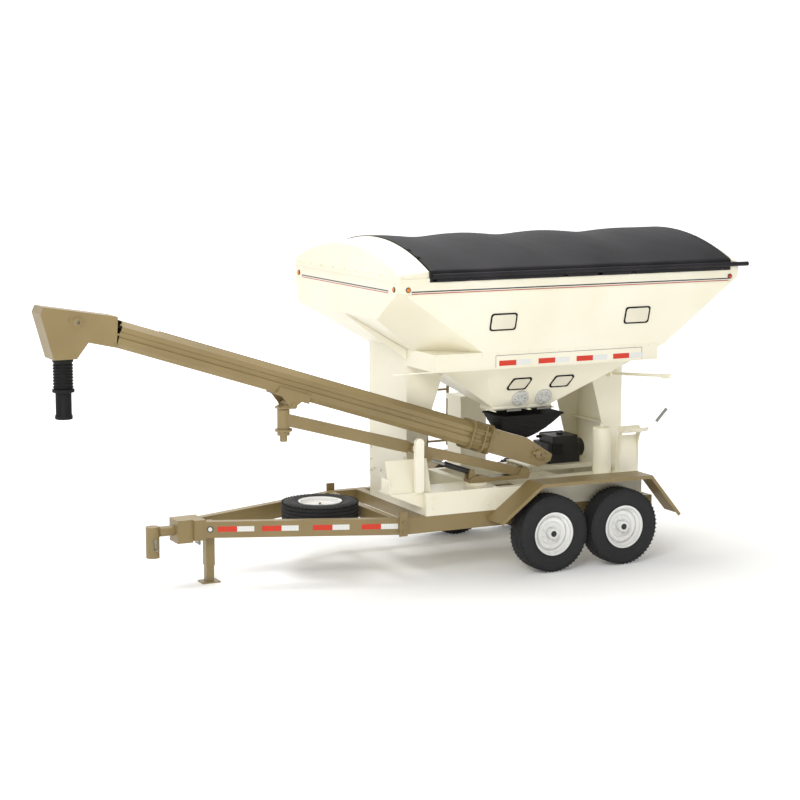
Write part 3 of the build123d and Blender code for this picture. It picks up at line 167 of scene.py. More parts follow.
def coat(name, colour, shade, roughness, peelMm=9, dustHeight=0.0, coatWeight=0.15, metallic=0.0):
    # sprayed paint: faint orange peel, colour drifting a little from panel to panel
    material, tree, shader, where = newMaterial(name)
    shader.inputs["Metallic"].default_value = metallic
    shader.inputs["IOR"].default_value = 1.5
    shader.inputs["Coat Weight"].default_value = coatWeight
    shader.inputs["Coat Roughness"].default_value = 0.12
    drift = addNode(tree, "ShaderNodeTexNoise", {"in:Scale": perMetre(700), "in:Detail": 4},
                    {"Vector": where})
    ramp = addNode(tree, "ShaderNodeValToRGB", links={"Fac": drift.outputs["Fac"]})
    ramp.color_ramp.elements[0].position = 0.32
    ramp.color_ramp.elements[0].color = srgb(shade)
    ramp.color_ramp.elements[1].position = 0.62
    ramp.color_ramp.elements[1].color = srgb(colour)
    colourOut = ramp.outputs["Color"]
    if dustHeight:
        # road dust gathers low down and breaks up with a coarse noise
        split = addNode(tree, "ShaderNodeSeparateXYZ", links={"Vector": where})
        fade = addNode(tree, "ShaderNodeMapRange",
                       {"in:From Min": dustHeight, "in:From Max": 0.05, "in:To Max": 0.45},
                       {"Value": split.outputs["Z"]})
        patch = addNode(tree, "ShaderNodeTexNoise", {"in:Scale": perMetre(60), "in:Detail": 6},
                        {"Vector": where})
        amount = addNode(tree, "ShaderNodeMath", {"operation": "MULTIPLY"},
                         {0: fade.outputs[0], 1: patch.outputs["Fac"]})
        dust = addNode(tree, "ShaderNodeMix", {"data_type": "RGBA"}, {0: amount.outputs[0], 6: colourOut})
        dust.inputs[7].default_value = srgb("#8b8068")
        colourOut = dust.outputs[2]
    tree.links.new(colourOut, shader.inputs["Base Color"])
    smear = addNode(tree, "ShaderNodeTexNoise", {"in:Scale": perMetre(140), "in:Detail": 5},
                    {"Vector": where})
    rough = addNode(tree, "ShaderNodeMapRange",
                    {"in:To Min": roughness - 0.06, "in:To Max": roughness + 0.08},
                    {"Value": smear.outputs["Fac"]})
    tree.links.new(rough.outputs[0], shader.inputs["Roughness"])
    peel = addNode(tree, "ShaderNodeTexNoise", {"in:Scale": perMetre(peelMm), "in:Detail": 2},
                   {"Vector": where})
    bump = addNode(tree, "ShaderNodeBump", {"in:Strength": 0.10, "in:Distance": 0.001},
                   {"Height": peel.outputs["Fac"]})
    tree.links.new(bump.outputs[0], shader.inputs["Normal"])
    return material


def grained(name, colour, shade, roughness, grainMm, strength, metallic=0.0, stretch=(1, 1, 1), specular=0.5):
    # a finish whose grain is seen as much as its colour
    material, tree, shader, where = newMaterial(name)
    shader.inputs["Metallic"].default_value = metallic
    if not metallic:
        shader.inputs["Specular IOR Level"].default_value = specular
    mapping = addNode(tree, "ShaderNodeMapping", {"in:Scale": stretch}, {"Vector": where})
    grain = addNode(tree, "ShaderNodeTexNoise",
                    {"in:Scale": perMetre(grainMm), "in:Detail": 6, "in:Roughness": 0.6},
                    {"Vector": mapping.outputs[0]})
    ramp = addNode(tree, "ShaderNodeValToRGB", links={"Fac": grain.outputs["Fac"]})
    ramp.color_ramp.elements[0].position = 0.35
    ramp.color_ramp.elements[0].color = srgb(shade)
    ramp.color_ramp.elements[1].position = 0.65
    ramp.color_ramp.elements[1].color = srgb(colour)
    tree.links.new(ramp.outputs["Color"], shader.inputs["Base Color"])
    broad = addNode(tree, "ShaderNodeTexNoise", {"in:Scale": perMetre(grainMm * 12), "in:Detail": 3},
                    {"Vector": where})
    rough = addNode(tree, "ShaderNodeMapRange",
                    {"in:To Min": roughness - 0.08, "in:To Max": roughness + 0.08},
                    {"Value": broad.outputs["Fac"]})
    tree.links.new(rough.outputs[0], shader.inputs["Roughness"])
    bump = addNode(tree, "ShaderNodeBump", {"in:Strength": strength, "in:Distance": 0.001},
                   {"Height": grain.outputs["Fac"]})
    tree.links.new(bump.outputs[0], shader.inputs["Normal"])
    return material


def wovenVinyl(name):
    # PVC-coated polyester tarp: tight basket weave under a soft black sheen,
    # drawn at 4 mm because the real 1.2 mm weave is too fine to show
    material, tree, shader, where = newMaterial(name)
    shader.inputs["Sheen Weight"].default_value = 0.02
    shader.inputs["Sheen Roughness"].default_value = 0.4
    shader.inputs["Specular IOR Level"].default_value = 0.18
    weaveScale = perMetre(4) / 6.28
    weaveX = addNode(tree, "ShaderNodeTexWave", {"in:Scale": weaveScale, "bands_direction": "X"},
                     {"Vector": where})
    weaveY = addNode(tree, "ShaderNodeTexWave", {"in:Scale": weaveScale, "bands_direction": "Y"},
                     {"Vector": where})
    weave = addNode(tree, "ShaderNodeMath", {"operation": "MULTIPLY"},
                    {0: weaveX.outputs["Fac"], 1: weaveY.outputs["Fac"]})
    wear = addNode(tree, "ShaderNodeTexNoise", {"in:Scale": perMetre(420), "in:Detail": 6}, {"Vector": where})
    ramp = addNode(tree, "ShaderNodeValToRGB", links={"Fac": wear.outputs["Fac"]})
    ramp.color_ramp.elements[0].position = 0.3
    ramp.color_ramp.elements[0].color = srgb("#201f21")
    ramp.color_ramp.elements[1].position = 0.75
    ramp.color_ramp.elements[1].color = srgb("#302e31")
    tree.links.new(ramp.outputs["Color"], shader.inputs["Base Color"])
    rough = addNode(tree, "ShaderNodeMapRange", {"in:To Min": 0.58, "in:To Max": 0.74},
                    {"Value": wear.outputs["Fac"]})
    tree.links.new(rough.outputs[0], shader.inputs["Roughness"])
    bump = addNode(tree, "ShaderNodeBump", {"in:Strength": 0.18, "in:Distance": 0.001},
                   {"Height": weave.outputs[0]})
    tree.links.new(bump.outputs[0], shader.inputs["Normal"])
    return material


def prismTape(name, colour, shade):
    # prismatic reflective tape: a fine diamond lattice under a clear gloss film
    material, tree, shader, where = newMaterial(name)
    shader.inputs["Coat Weight"].default_value = 0.1
    shader.inputs["Specular IOR Level"].default_value = 0.25
    shader.inputs["Roughness"].default_value = 0.45
    turned = addNode(tree, "ShaderNodeMapping", {"in:Rotation": (0, 0.785, 0)}, {"Vector": where})
    cells = addNode(tree, "ShaderNodeTexVoronoi", {"in:Scale": perMetre(9), "in:Randomness": 0.0},
                    {"Vector": turned.outputs[0]})
    ramp = addNode(tree, "ShaderNodeValToRGB", links={"Fac": cells.outputs["Distance"]})
    ramp.color_ramp.elements[0].color = srgb(colour)
    ramp.color_ramp.elements[1].color = srgb(shade)
    ramp.color_ramp.elements[1].position = 0.8
    tree.links.new(ramp.outputs["Color"], shader.inputs["Base Color"])
    return material


def lens(name, colour):
    # acrylic lamp lens: saturated and glossy, darker between its prisms
    material, tree, shader, where = newMaterial(name)
    shader.inputs["Roughness"].default_value = 0.12
    shader.inputs["IOR"].default_value = 1.49
    shader.inputs["Coat Weight"].default_value = 0.5
    rings = addNode(tree, "ShaderNodeTexVoronoi", {"in:Scale": perMetre(5)}, {"Vector": where})
    ramp = addNode(tree, "ShaderNodeValToRGB", links={"Fac": rings.outputs["Distance"]})
    ramp.color_ramp.elements[0].color = srgb(colour)
    ramp.color_ramp.elements[1].color = tuple(c * 0.6 for c in srgb(colour)[:3]) + (1,)
    tree.links.new(ramp.outputs["Color"], shader.inputs["Base Color"])
    bump = addNode(tree, "ShaderNodeBump", {"in:Strength": 0.3, "in:Distance": 0.001},
                   {"Height": rings.outputs["Distance"]})
    tree.links.new(bump.outputs[0], shader.inputs["Normal"])
    return material


# gloss two-pack enamel
creamEnamel = coat("creamEnamel", "#efead6", "#eae4cc", 0.34, peelMm=11, coatWeight=0.15)
# warm tan enamel
tanEnamel = coat("tanEnamel", "#8d7a50", "#827048", 0.42, peelMm=8, dustHeight=0.30, coatWeight=0.04)
# baked wheel paint
wheelWhite = coat("wheelWhite", "#f2f2f0", "#e8e8e5", 0.28, peelMm=6, dustHeight=0.5, coatWeight=0.4)
chassisBlack = coat("chassisBlack", "#1c1c1e", "#121214", 0.42, peelMm=5)  # satin black, slightly dusty
zincSteel = grained("zincSteel", "#9c9c94", "#7c7c75", 0.42, 6, 0.08, metallic=0.85)  # bright zinc gone dull
crankGrey = coat("crankGrey", "#85857d", "#787871", 0.4, peelMm=6, coatWeight=0.1)  # grey powder coat
# ground rod
drawnSteel = grained("drawnSteel", "#b9bab6", "#8f908c", 0.3, 3, 0.06, metallic=1.0, stretch=(1, 1, 8))
# carbon-black rubber, chalky
tyreRubber = grained("tyreRubber", "#2f2f30", "#252526", 0.72, 4, 0.25, specular=0.3)
# soft semi-gloss rubber
mouldedRubber = grained("mouldedRubber", "#1c1c1c", "#121212", 0.6, 5, 0.12, specular=0.2)
beltRubber = grained("beltRubber", "#2b2b2b", "#1b1b1b", 0.65, 7, 0.3)  # chevron belting, dusty
castBlack = grained("castBlack", "#242426", "#101012", 0.5, 4, 0.35, specular=0.5)  # painted sand casting
capPlastic = grained("capPlastic", "#cfcfca", "#b4b4ad", 0.4, 14, 0.05)  # moulded grey-white polypropylene
# clear pane on pale seed
windowAcrylic = coat("windowAcrylic", "#e2dcc8", "#d6cfb8", 0.12, peelMm=90, coatWeight=0.8)
tarpVinyl = wovenVinyl("tarpVinyl")
redTape = prismTape("redTape", "#de4530", "#c2321f")
whiteTape = prismTape("whiteTape", "#f0f0ec", "#cfcfca")
amberLens = lens("amberLens", "#f08a1c")
redLens = lens("redLens", "#d92f22")
navyStripe = coat("navyStripe", "#26283a", "#20222f", 0.3, peelMm=30, coatWeight=0.4)  # cast vinyl pinstripe
redStripe = coat("redStripe", "#b8352c", "#a62c24", 0.3, peelMm=30, coatWeight=0.4)

slotMaterials = {
    "cream_paint": creamEnamel, "tan_paint": tanEnamel, "white_paint": wheelWhite,
    "black_paint": chassisBlack,
    "zinc_steel": zincSteel, "tyre_rubber": tyreRubber, "black_rubber": mouldedRubber,
    "belt_rubber": beltRubber,
    "tarp_vinyl": tarpVinyl, "engine_iron": castBlack, "window_pane": windowAcrylic, "lamp_lens": amberLens,
    "cap_plastic": capPlastic,
}
for part in frame["record"]["subparts"]:
    mesh = nodes[part["node"]].data
    mesh.materials.clear()
    mesh.materials.append(slotMaterials[part["material_slot"]])
nodes["lift_rod"].data.materials[0] = drawnSteel
nodes["tarp_crank"].data.materials[0] = crankGrey


def propMask(material):
    # the same sprayed tan, but the prop outside the arm is cream; the edge follows the prop's own plate
    tree = material.node_tree
    shader = next(n for n in tree.nodes if n.type == "BSDF_PRINCIPLED")
    before = shader.inputs["Base Color"].links[0].from_socket
    where = addNode(tree, "ShaderNodeTexCoord")
    split = addNode(tree, "ShaderNodeSeparateXYZ", links={"Vector": where.outputs["Object"]})
    outside = addNode(tree, "ShaderNodeMath", {"operation": "LESS_THAN", "in:1": -0.70},
                      {0: split.outputs["Y"]})
    choice = addNode(tree, "ShaderNodeMix", {"data_type": "RGBA"}, {0: outside.outputs[0], 6: before})
    choice.inputs[7].default_value = srgb("#efead6")
    tree.links.new(choice.outputs[2], shader.inputs["Base Color"])
    return material


# tan and cream enamel
armEnamel = propMask(coat("armEnamel", "#8d7a50", "#827048", 0.42, peelMm=8, coatWeight=0.04))
nodes["swing_arm"].data.materials[0] = armEnamel
nodes["roll_tube"].data.materials[0] = tarpVinyl  # the cloth is wound round the tube
print("materials made:", len(bpy.data.materials))


# ---- tyres

tyreSizes = {"ribs": 5, "grooveWidth": 0.007, "grooveDepth": 0.009, "treadWidth": 0.178, "rimSeat": 0.2053,
             "shoulderBlocks": 56, "blockHeight": 0.018, "blockLength": 0.020, "blockPlace": 0.0975}


def tyreProfile(low, high, seat, crown):
    # casing section from bead to bead, with grooves between the ribs and two raised rings on each wall
    half = (high - low) / 2 - 0.0005
    wall = [(0.090, seat + 0.001), (0.094, seat + 0.012), (0.101, seat + 0.030), (0.1035, seat + 0.034),
            (0.1045, seat + 0.040), (0.1065, seat + 0.046), (0.112, seat + 0.062), (0.1165, seat + 0.082),
            (0.1178, seat + 0.098), (0.1170, seat + 0.112), (0.1175, seat + 0.116), (0.1150, seat + 0.124),
            (0.1120, seat + 0.138), (0.1070, seat + 0.152), (0.1010, crown - 0.024), (0.0990, crown - 0.014),
            (0.0960, crown - 0.007)]
    wall = [(min(a, half), r) for a, r in wall]
    tread = []
    width = tyreSizes["treadWidth"]
    pitch = width / tyreSizes["ribs"]
    for i in range(tyreSizes["ribs"]):
        left = -width / 2 + i * pitch + tyreSizes["grooveWidth"] / 2
        right = left + pitch - tyreSizes["grooveWidth"]
        drop = 0.0012 + 0.0022 * abs(i - (tyreSizes["ribs"] - 1) / 2)
        tread += [(left, crown - drop - tyreSizes["grooveDepth"]), (left + 0.001, crown - drop),
                  (right - 0.001, crown - drop), (right, crown - drop - tyreSizes["grooveDepth"])]
    farWall = [(-a, r) for a, r in wall]
    inner = [(0.090, seat + 0.001), (0.078, seat + 0.004), (0.104, seat + 0.098), (0.084, crown - 0.022),
             (-0.084, crown - 0.022), (-0.104, seat + 0.098), (-0.078, seat + 0.004)]
    return farWall + tread + wall[::-1] + inner[1:]


def newGeometryTree(name, inputs):
    # a node group with one mesh output and the inputs given as (name, kind of socket, value)
    tree = bpy.data.node_groups.new(name, "GeometryNodeTree")
    for title, kind, value in inputs:
        socket = tree.interface.new_socket(title, in_out="INPUT", socket_type="NodeSocket" + kind)
        if value is not None:
            socket.default_value = value
    tree.interface.new_socket("mesh", in_out="OUTPUT", socket_type="NodeSocketGeometry")
    return tree, addNode(tree, "NodeGroupInput")


def shoulderTree():
    # blocks set round both shoulders of a tread
    tree, given = newGeometryTree("shoulderBlocks", (
        ("count", "Int", 56), ("crownRadius", "Float", 0.39), ("halfWidth", "Float", 0.097),
        ("blockLength", "Float", 0.02), ("blockHeight", "Float", 0.004), ("rubber", "Material", None)))
    circle = addNode(tree, "GeometryNodeMeshCircle", links={"Vertices": given.outputs["count"],
                                                            "Radius": given.outputs["crownRadius"]})
    size = addNode(tree, "ShaderNodeCombineXYZ", {"in:Y": 0.012}, {"X": given.outputs["blockHeight"],
                                                                  "Z": given.outputs["blockLength"]})
    block = addNode(tree, "GeometryNodeMeshCube", links={"Size": size.outputs[0]})
    position = addNode(tree, "GeometryNodeInputPosition")
    aim = addNode(tree, "FunctionNodeAlignRotationToVector", {"axis": "X"}, {"Vector": position.outputs[0]})
    spread = addNode(tree, "GeometryNodeInstanceOnPoints", links={"Points": circle.outputs[0],
                                                                  "Instance": block.outputs[0],
                                                                  "Rotation": aim.outputs[0]})
    joined = addNode(tree, "GeometryNodeJoinGeometry")
    for sign in (-1, 1):
        shift = addNode(tree, "ShaderNodeMath", {"operation": "MULTIPLY", "in:1": sign},
                        {0: given.outputs["halfWidth"]})
        move = addNode(tree, "ShaderNodeCombineXYZ", links={"Z": shift.outputs[0]})
        moved = addNode(tree, "GeometryNodeTransform", links={"Geometry": spread.outputs[0],
                                                              "Translation": move.outputs[0]})
        tree.links.new(moved.outputs[0], joined.inputs[0])
    real = addNode(tree, "GeometryNodeRealizeInstances", links={"Geometry": joined.outputs[0]})
    done = addNode(tree, "GeometryNodeSetMaterial",
                   links={"Geometry": real.outputs[0], "Material": given.outputs["rubber"]})
    addNode(tree, "NodeGroupOutput", links={0: done.outputs[0]})
    return tree


def runTree(name, tree, values, source=None):
    # runs a node tree on a mesh and hands back the plain mesh it makes
    mesh = source or bpy.data.meshes.new(name + "Source")
    carrier = bpy.data.objects.new(name + "Carrier", mesh)
    bpy.context.scene.collection.objects.link(carrier)
    modifier = carrier.modifiers.new("shape", "NODES")
    modifier.node_group = tree
    for item in tree.interface.items_tree:
        if item.in_out == "INPUT" and item.name in values:
            modifier[item.identifier] = values[item.name]
    graph = bpy.context.evaluated_depsgraph_get()
    made = bpy.data.meshes.new_from_object(carrier.evaluated_get(graph))
    made.name = name
    bpy.data.objects.remove(carrier)
    return made


def makeTyre(name, node, body, axis):
    low, high = place(node)
    centre = (low + high) / 2
    axis = Vector(axis)
    crown = max((high - low)[i] for i in range(3)) / 2
    halfBox = abs((high - low).dot(axis)) / 2
    bm = bmesh.new()
    latheInto(bm, tyreProfile(-halfBox, halfBox, tyreSizes["rimSeat"], crown - 0.0005), centre, axis,
              steps=96, close=True)
    blocks = runTree(name + "Blocks", shoulder, {
        "count": tyreSizes["shoulderBlocks"], "crownRadius": crown - 0.0125,
        "halfWidth": tyreSizes["blockPlace"],
        "blockLength": tyreSizes["blockLength"], "blockHeight": tyreSizes["blockHeight"],
        "rubber": tyreRubber})
    turn = Vector((0, 0, 1)).rotation_difference(axis).to_matrix().to_4x4()
    blocks.transform(Matrix.Translation(centre) @ turn)
    bm.from_mesh(blocks)
    piece = smoothMesh(name, bm, [tyreRubber], body, angle=28)
    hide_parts(node)
    return piece


shoulder = shoulderTree()
for end in ("front", "rear"):
    for side in ("left", "right"):
        makeTyre(f"tyre_{end}_{side}_tread", f"tyre_{end}_{side}", f"wheel_{end}_{side}", (0, 1, 0))
makeTyre("spare_tyre_tread", "spare_tyre", "chassis", (0, 0, 1))


def makeHub(end, side):
    # grease cap in the middle of a wheel
    low, high = place(f"rim_{end}_{side}")
    outward = -1 if side == "left" else 1
    face = low.y if outward < 0 else high.y
    middle = (low + high) / 2
    bm = bmesh.new()
    dome = [(-0.004, 0.030), (0.0, 0.030), (0.002, 0.027), (0.003, 0.015), (0.0035, 0)]
    latheInto(bm, [(-0.004, 0)] + dome, (middle.x, face - outward * 0.0035, middle.z), (0, outward, 0), 32)
    smoothMesh(f"grease_cap_{end}_{side}", bm, [chassisBlack], f"wheel_{end}_{side}")


for end in ("front", "rear"):
    for side in ("left", "right"):
        makeHub(end, side)
print("tyres done")


# ---- roll tarp

tarpSizes = {"valley": 0.030, "wrinkle": 0.004, "cloth": 0.0025, "skirt": 0.110, "bowRadius": 0.014,
             "hemHeight": 0.040, "endHemWidth": 0.036, "endHemSteps": 60, "alongSteps": 170,
             "aroundSteps": 110}


def makeTarp():
    low, high = place("tarp")
    bowsLow, bowsHigh = place("tarp_bows")
    length = high.x - low.x
    half = (high.y - low.y) / 2
    skirtFoot = low.z
    shoulderZ = skirtFoot + tarpSizes["skirt"]
    rise = high.z - shoulderZ
    radius = (half ** 2 + rise ** 2) / (2 * rise)
    arcHalf = math.asin(half / radius)
    arcLength = 2 * radius * arcHalf
    skirt = shoulderZ - skirtFoot
    total = arcLength + 2 * skirt
    firstBow, lastBow = bowsLow.x + tarpSizes["bowRadius"], bowsHigh.x - tarpSizes["bowRadius"]
    bowGap = (lastBow - firstBow) / 3
    rng = random.Random(7)
    phases = [rng.uniform(0, 6.28) for _ in range(3)]
    bm = bmesh.new()
    uv = bm.loops.layers.uv.new("cloth")
    grid = []
    for i in range(tarpSizes["alongSteps"] + 1):
        x = low.x + 0.002 + (length - 0.004) * i / tarpSizes["alongSteps"]
        nearest = (x - firstBow) / bowGap
        off = abs(nearest - round(nearest)) if 0 <= nearest <= 3 else 0
        # cloth hangs as a shallow valley between two bows and lies tight over each of them
        sag = tarpSizes["valley"] * (0.5 - 0.5 * math.cos(2 * math.pi * off))
        endEase = min(1, (x - low.x) / 0.08, (high.x - x) / 0.08)
        row = []
        for j in range(tarpSizes["aroundSteps"] + 1):
            along = total * j / tarpSizes["aroundSteps"]
            if along < skirt:
                y, z = -half, skirtFoot + along
                out, hang = Vector((0, -1, 0)), 1 - along / skirt
            elif along > total - skirt:
                y, z = half, skirtFoot + (total - along)
                out, hang = Vector((0, 1, 0)), 1 - (total - along) / skirt
            else:
                turn = -arcHalf + (along - skirt) / radius
                y = radius * math.sin(turn)
                z = high.z - radius + radius * math.cos(turn)
                out, hang = Vector((0, math.sin(turn), math.cos(turn))), 0
            crown = math.cos(min(1, abs(y) / half) * math.pi / 2) ** 0.6
            drop = sag * crown * endEase
            flutter = math.sin(x * 17 + phases[0]) + 0.6 * math.sin(x * 31 + phases[1])
            ripple = tarpSizes["wrinkle"] * hang * flutter
            ripple += 0.0010 * math.sin(x * 23 + y * 9 + phases[2]) * crown
            point = Vector((x, y, z)) - out * (0.0035 + drop + max(0, ripple + 0.003 * hang))
            row.append(bm.verts.new(point))
        grid.append(row)
    for i in range(len(grid) - 1):
        for j in range(len(grid[0]) - 1):
            face = bm.faces.new((grid[i][j], grid[i + 1][j], grid[i + 1][j + 1], grid[i][j + 1]))
            for loop, (u, v) in zip(face.loops, ((i, j), (i + 1, j), (i + 1, j + 1), (i, j + 1))):
                loop[uv].uv = (u / tarpSizes["alongSteps"] * length, v / tarpSizes["aroundSteps"] * total)
    bmesh.ops.recalc_face_normals(bm, faces=bm.faces)
    if bm.faces[len(bm.faces) // 2].normal.z < 0:
        bmesh.ops.reverse_faces(bm, faces=bm.faces)
    piece = smoothMesh("tarpCover", bm, [tarpVinyl], "chassis", angle=60)
    wall = piece.modifiers.new("cloth", "SOLIDIFY")
    wall.thickness = tarpSizes["cloth"]
    wall.offset = -1
    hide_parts("tarp")
    hem = bmesh.new()
    for side in (-1, 1):
        # doubled hem along each lower edge
        edge = -half if side < 0 else half
        slabInto(hem, (low.x + 0.004, edge - side * 0.012, skirtFoot + 0.001), (length - 0.008, 0, 0),
                 (0, side * 0.004, 0), (0, 0, tarpSizes["hemHeight"]))
    for x in (low.x + 0.02, high.x - 0.02):
        rows = tarpSizes["endHemSteps"]
        for k in range(rows):
            a = -arcHalf + 2 * arcHalf * k / rows
            b = -arcHalf + 2 * arcHalf * (k + 1) / rows
            ya, za = (radius - 0.0005) * math.sin(a), high.z - radius + (radius - 0.0005) * math.cos(a)
            yb, zb = (radius - 0.0005) * math.sin(b), high.z - radius + (radius - 0.0005) * math.cos(b)
            slabInto(hem, (x - tarpSizes["endHemWidth"] / 2, ya, za - 0.003),
                     (tarpSizes["endHemWidth"], 0, 0),
                     (0, yb - ya, zb - za), (0, 0, 0.003))
    trim = smoothMesh("tarpHem", hem, [tarpVinyl], "chassis")
    return piece


makeTarp()
print("tarp done")


# ---- rubber spout and intake boot

conveyorAngle = math.radians(18)
spoutSizes = {"ribs": 8, "ribDepth": 0.010, "bore": 0.0738, "tubeWall": 0.0063}


def makeSpout():
    low, high = place("spout_sleeve")
    centre = (low + high) / 2
    outer = (high.x - low.x) / 2
    height = high.z - low.z
    ribRadius = outer - 0.008
    outside = [(0, spoutSizes["bore"]), (0, ribRadius), (-0.030, ribRadius + 0.001),
               (-0.040, ribRadius - 0.009)]
    start, stop = -0.050, -(height - 0.036)
    steps = spoutSizes["ribs"] * 6
    for i in range(steps + 1):
        along = start + (stop - start) * i / steps
        wave = 0.5 - 0.5 * math.cos(2 * math.pi * i / 6)
        outside.append((along, ribRadius - spoutSizes["ribDepth"] * (1 - wave)))
    outside += [(-(height - 0.030), outer - 0.002), (-(height - 0.012), outer),
                (-(height - 0.002), outer - 0.003),
                (-height, outer - 0.010), (-height, spoutSizes["bore"])]
    bm = bmesh.new()
    latheInto(bm, outside, (centre.x, centre.y, high.z), (0, 0, 1), steps=64, close=True)
    sleeve = smoothMesh("spoutBellows", bm, [mouldedRubber], "conveyor", angle=50)
    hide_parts("spout_sleeve")
    low, high = place("spout_tube")
    centre = (low + high) / 2
    foot = (high.x - low.x) / 2
    outer = spoutSizes["bore"] - 0.001  # slides in the sleeve
    inner = outer - spoutSizes["tubeWall"]
    profile = [(high.z, inner), (high.z, outer), (low.z + 0.045, outer), (low.z + 0.040, foot - 0.004),
               (low.z + 0.030, foot - 0.001), (low.z + 0.010, foot), (low.z + 0.002, foot - 0.002),
               (low.z, foot - 0.006), (low.z, inner + 0.0025), (low.z + 0.004, inner)]
    bm = bmesh.new()
    latheInto(bm, [(z - low.z, r) for z, r in profile], (centre.x, centre.y, low.z), (0, 0, 1), steps=64,
              close=True)
    tube = smoothMesh("spoutTube", bm, [mouldedRubber], "spout_tube", angle=50)
    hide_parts("spout_tube")


# the foot is where the boot meets the tail box, which lies at the conveyor's angle
bootSizes = {"wall": 0.006, "pleat": 0.0012, "corner": 0.045, "bead": 0.007, "footFront": 2.854,
             "footRear": 3.1675, "footTop": 1.4006, "footHalf": 0.105, "rings": 22, "beadSides": 8}


def roundedLoop(centreX, centreY, halfX, halfY, corner, steps=6):
    points = []
    for sx, sy, start in ((1, 1, 0), (-1, 1, 90), (-1, -1, 180), (1, -1, 270)):
        for k in range(steps + 1):
            turn = math.radians(start + 90 * k / steps)
            points.append((centreX + sx * (halfX - corner) + corner * math.cos(turn),
                           centreY + sy * (halfY - corner) + corner * math.sin(turn)))
    return points


def makeBoot():
    low, high = place("intake_boot")
    slope = math.tan(conveyorAngle)
    rimX, rimY = (low.x + high.x) / 2, (low.y + high.y) / 2
    halfX, halfY = (high.x - low.x) / 2, (high.y - low.y) / 2
    footFront, footRear, footTop = bootSizes["footFront"], bootSizes["footRear"], bootSizes["footTop"]
    rings, beadSides = bootSizes["rings"], bootSizes["beadSides"]
    bm = bmesh.new()

    def ringAt(share, shrink):
        # share runs from the rim down to the foot on the tail box
        cx = rimX + ((footFront + footRear) / 2 - rimX) * share
        hx = halfX + ((footRear - footFront) / 2 - halfX) * share - shrink
        hy = halfY + (bootSizes["footHalf"] - halfY) * share - shrink
        pleat = bootSizes["pleat"] * math.sin(share * math.pi * 9) * math.sin(share * math.pi)
        loop = roundedLoop(cx, rimY, hx - 0.005 + min(pleat, 0.004), hy - 0.005 + min(pleat, 0.004),
                           bootSizes["corner"] * (1 - 0.6 * share))
        ring = []
        for x, y in loop:
            footZ = footTop - (x - footFront) * slope + 0.001
            z = high.z + (footZ - high.z) * share
            ring.append(bm.verts.new((x, y, z)))
        return ring

    outside = [ringAt(i / rings, 0) for i in range(rings + 1)]
    inside = [ringAt(i / rings, bootSizes["wall"]) for i in range(rings + 1)]
    for skin in (outside, inside):
        for a, b in zip(skin, skin[1:]):
            for i in range(len(a)):
                j = (i + 1) % len(a)
                bm.faces.new((a[i], a[j], b[j], b[i]))
    for a, b in ((outside[0], inside[0]), (outside[-1], inside[-1])):
        for i in range(len(a)):
            j = (i + 1) % len(a)
            bm.faces.new((a[i], a[j], b[j], b[i]))
    bmesh.ops.recalc_face_normals(bm, faces=bm.faces)
    bead = roundedLoop(rimX, rimY, halfX - 0.008, halfY - 0.008, bootSizes["corner"])
    beadRings = []
    for i, (x, y) in enumerate(bead):
        nx, ny = bead[(i + 1) % len(bead)][0] - bead[i - 1][0], bead[(i + 1) % len(bead)][1] - bead[i - 1][1]
        size = math.hypot(nx, ny)
        out = Vector((ny / size, -nx / size, 0))
        ring = []
        for k in range(beadSides):
            turn = 2 * math.pi * k / beadSides
            ring.append(bm.verts.new(Vector((x, y, high.z - 0.008)) + out * bootSizes["bead"] * math.cos(turn)
                                     + Vector((0, 0, bootSizes["bead"] * math.sin(turn)))))
        beadRings.append(ring)
    made = []
    for i in range(len(beadRings)):
        a, b = beadRings[i], beadRings[(i + 1) % len(beadRings)]
        for k in range(beadSides):
            m = (k + 1) % beadSides
            made.append(bm.faces.new((a[k], a[m], b[m], b[k])))
    bmesh.ops.recalc_face_normals(bm, faces=made)
    boot = smoothMesh("intakeBoot", bm, [mouldedRubber], "conveyor", angle=50)
    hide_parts("intake_boot")


makeSpout()
makeBoot()
print("rubber parts done")


# ---- bolts, set by a node tree on points that carry their own facing

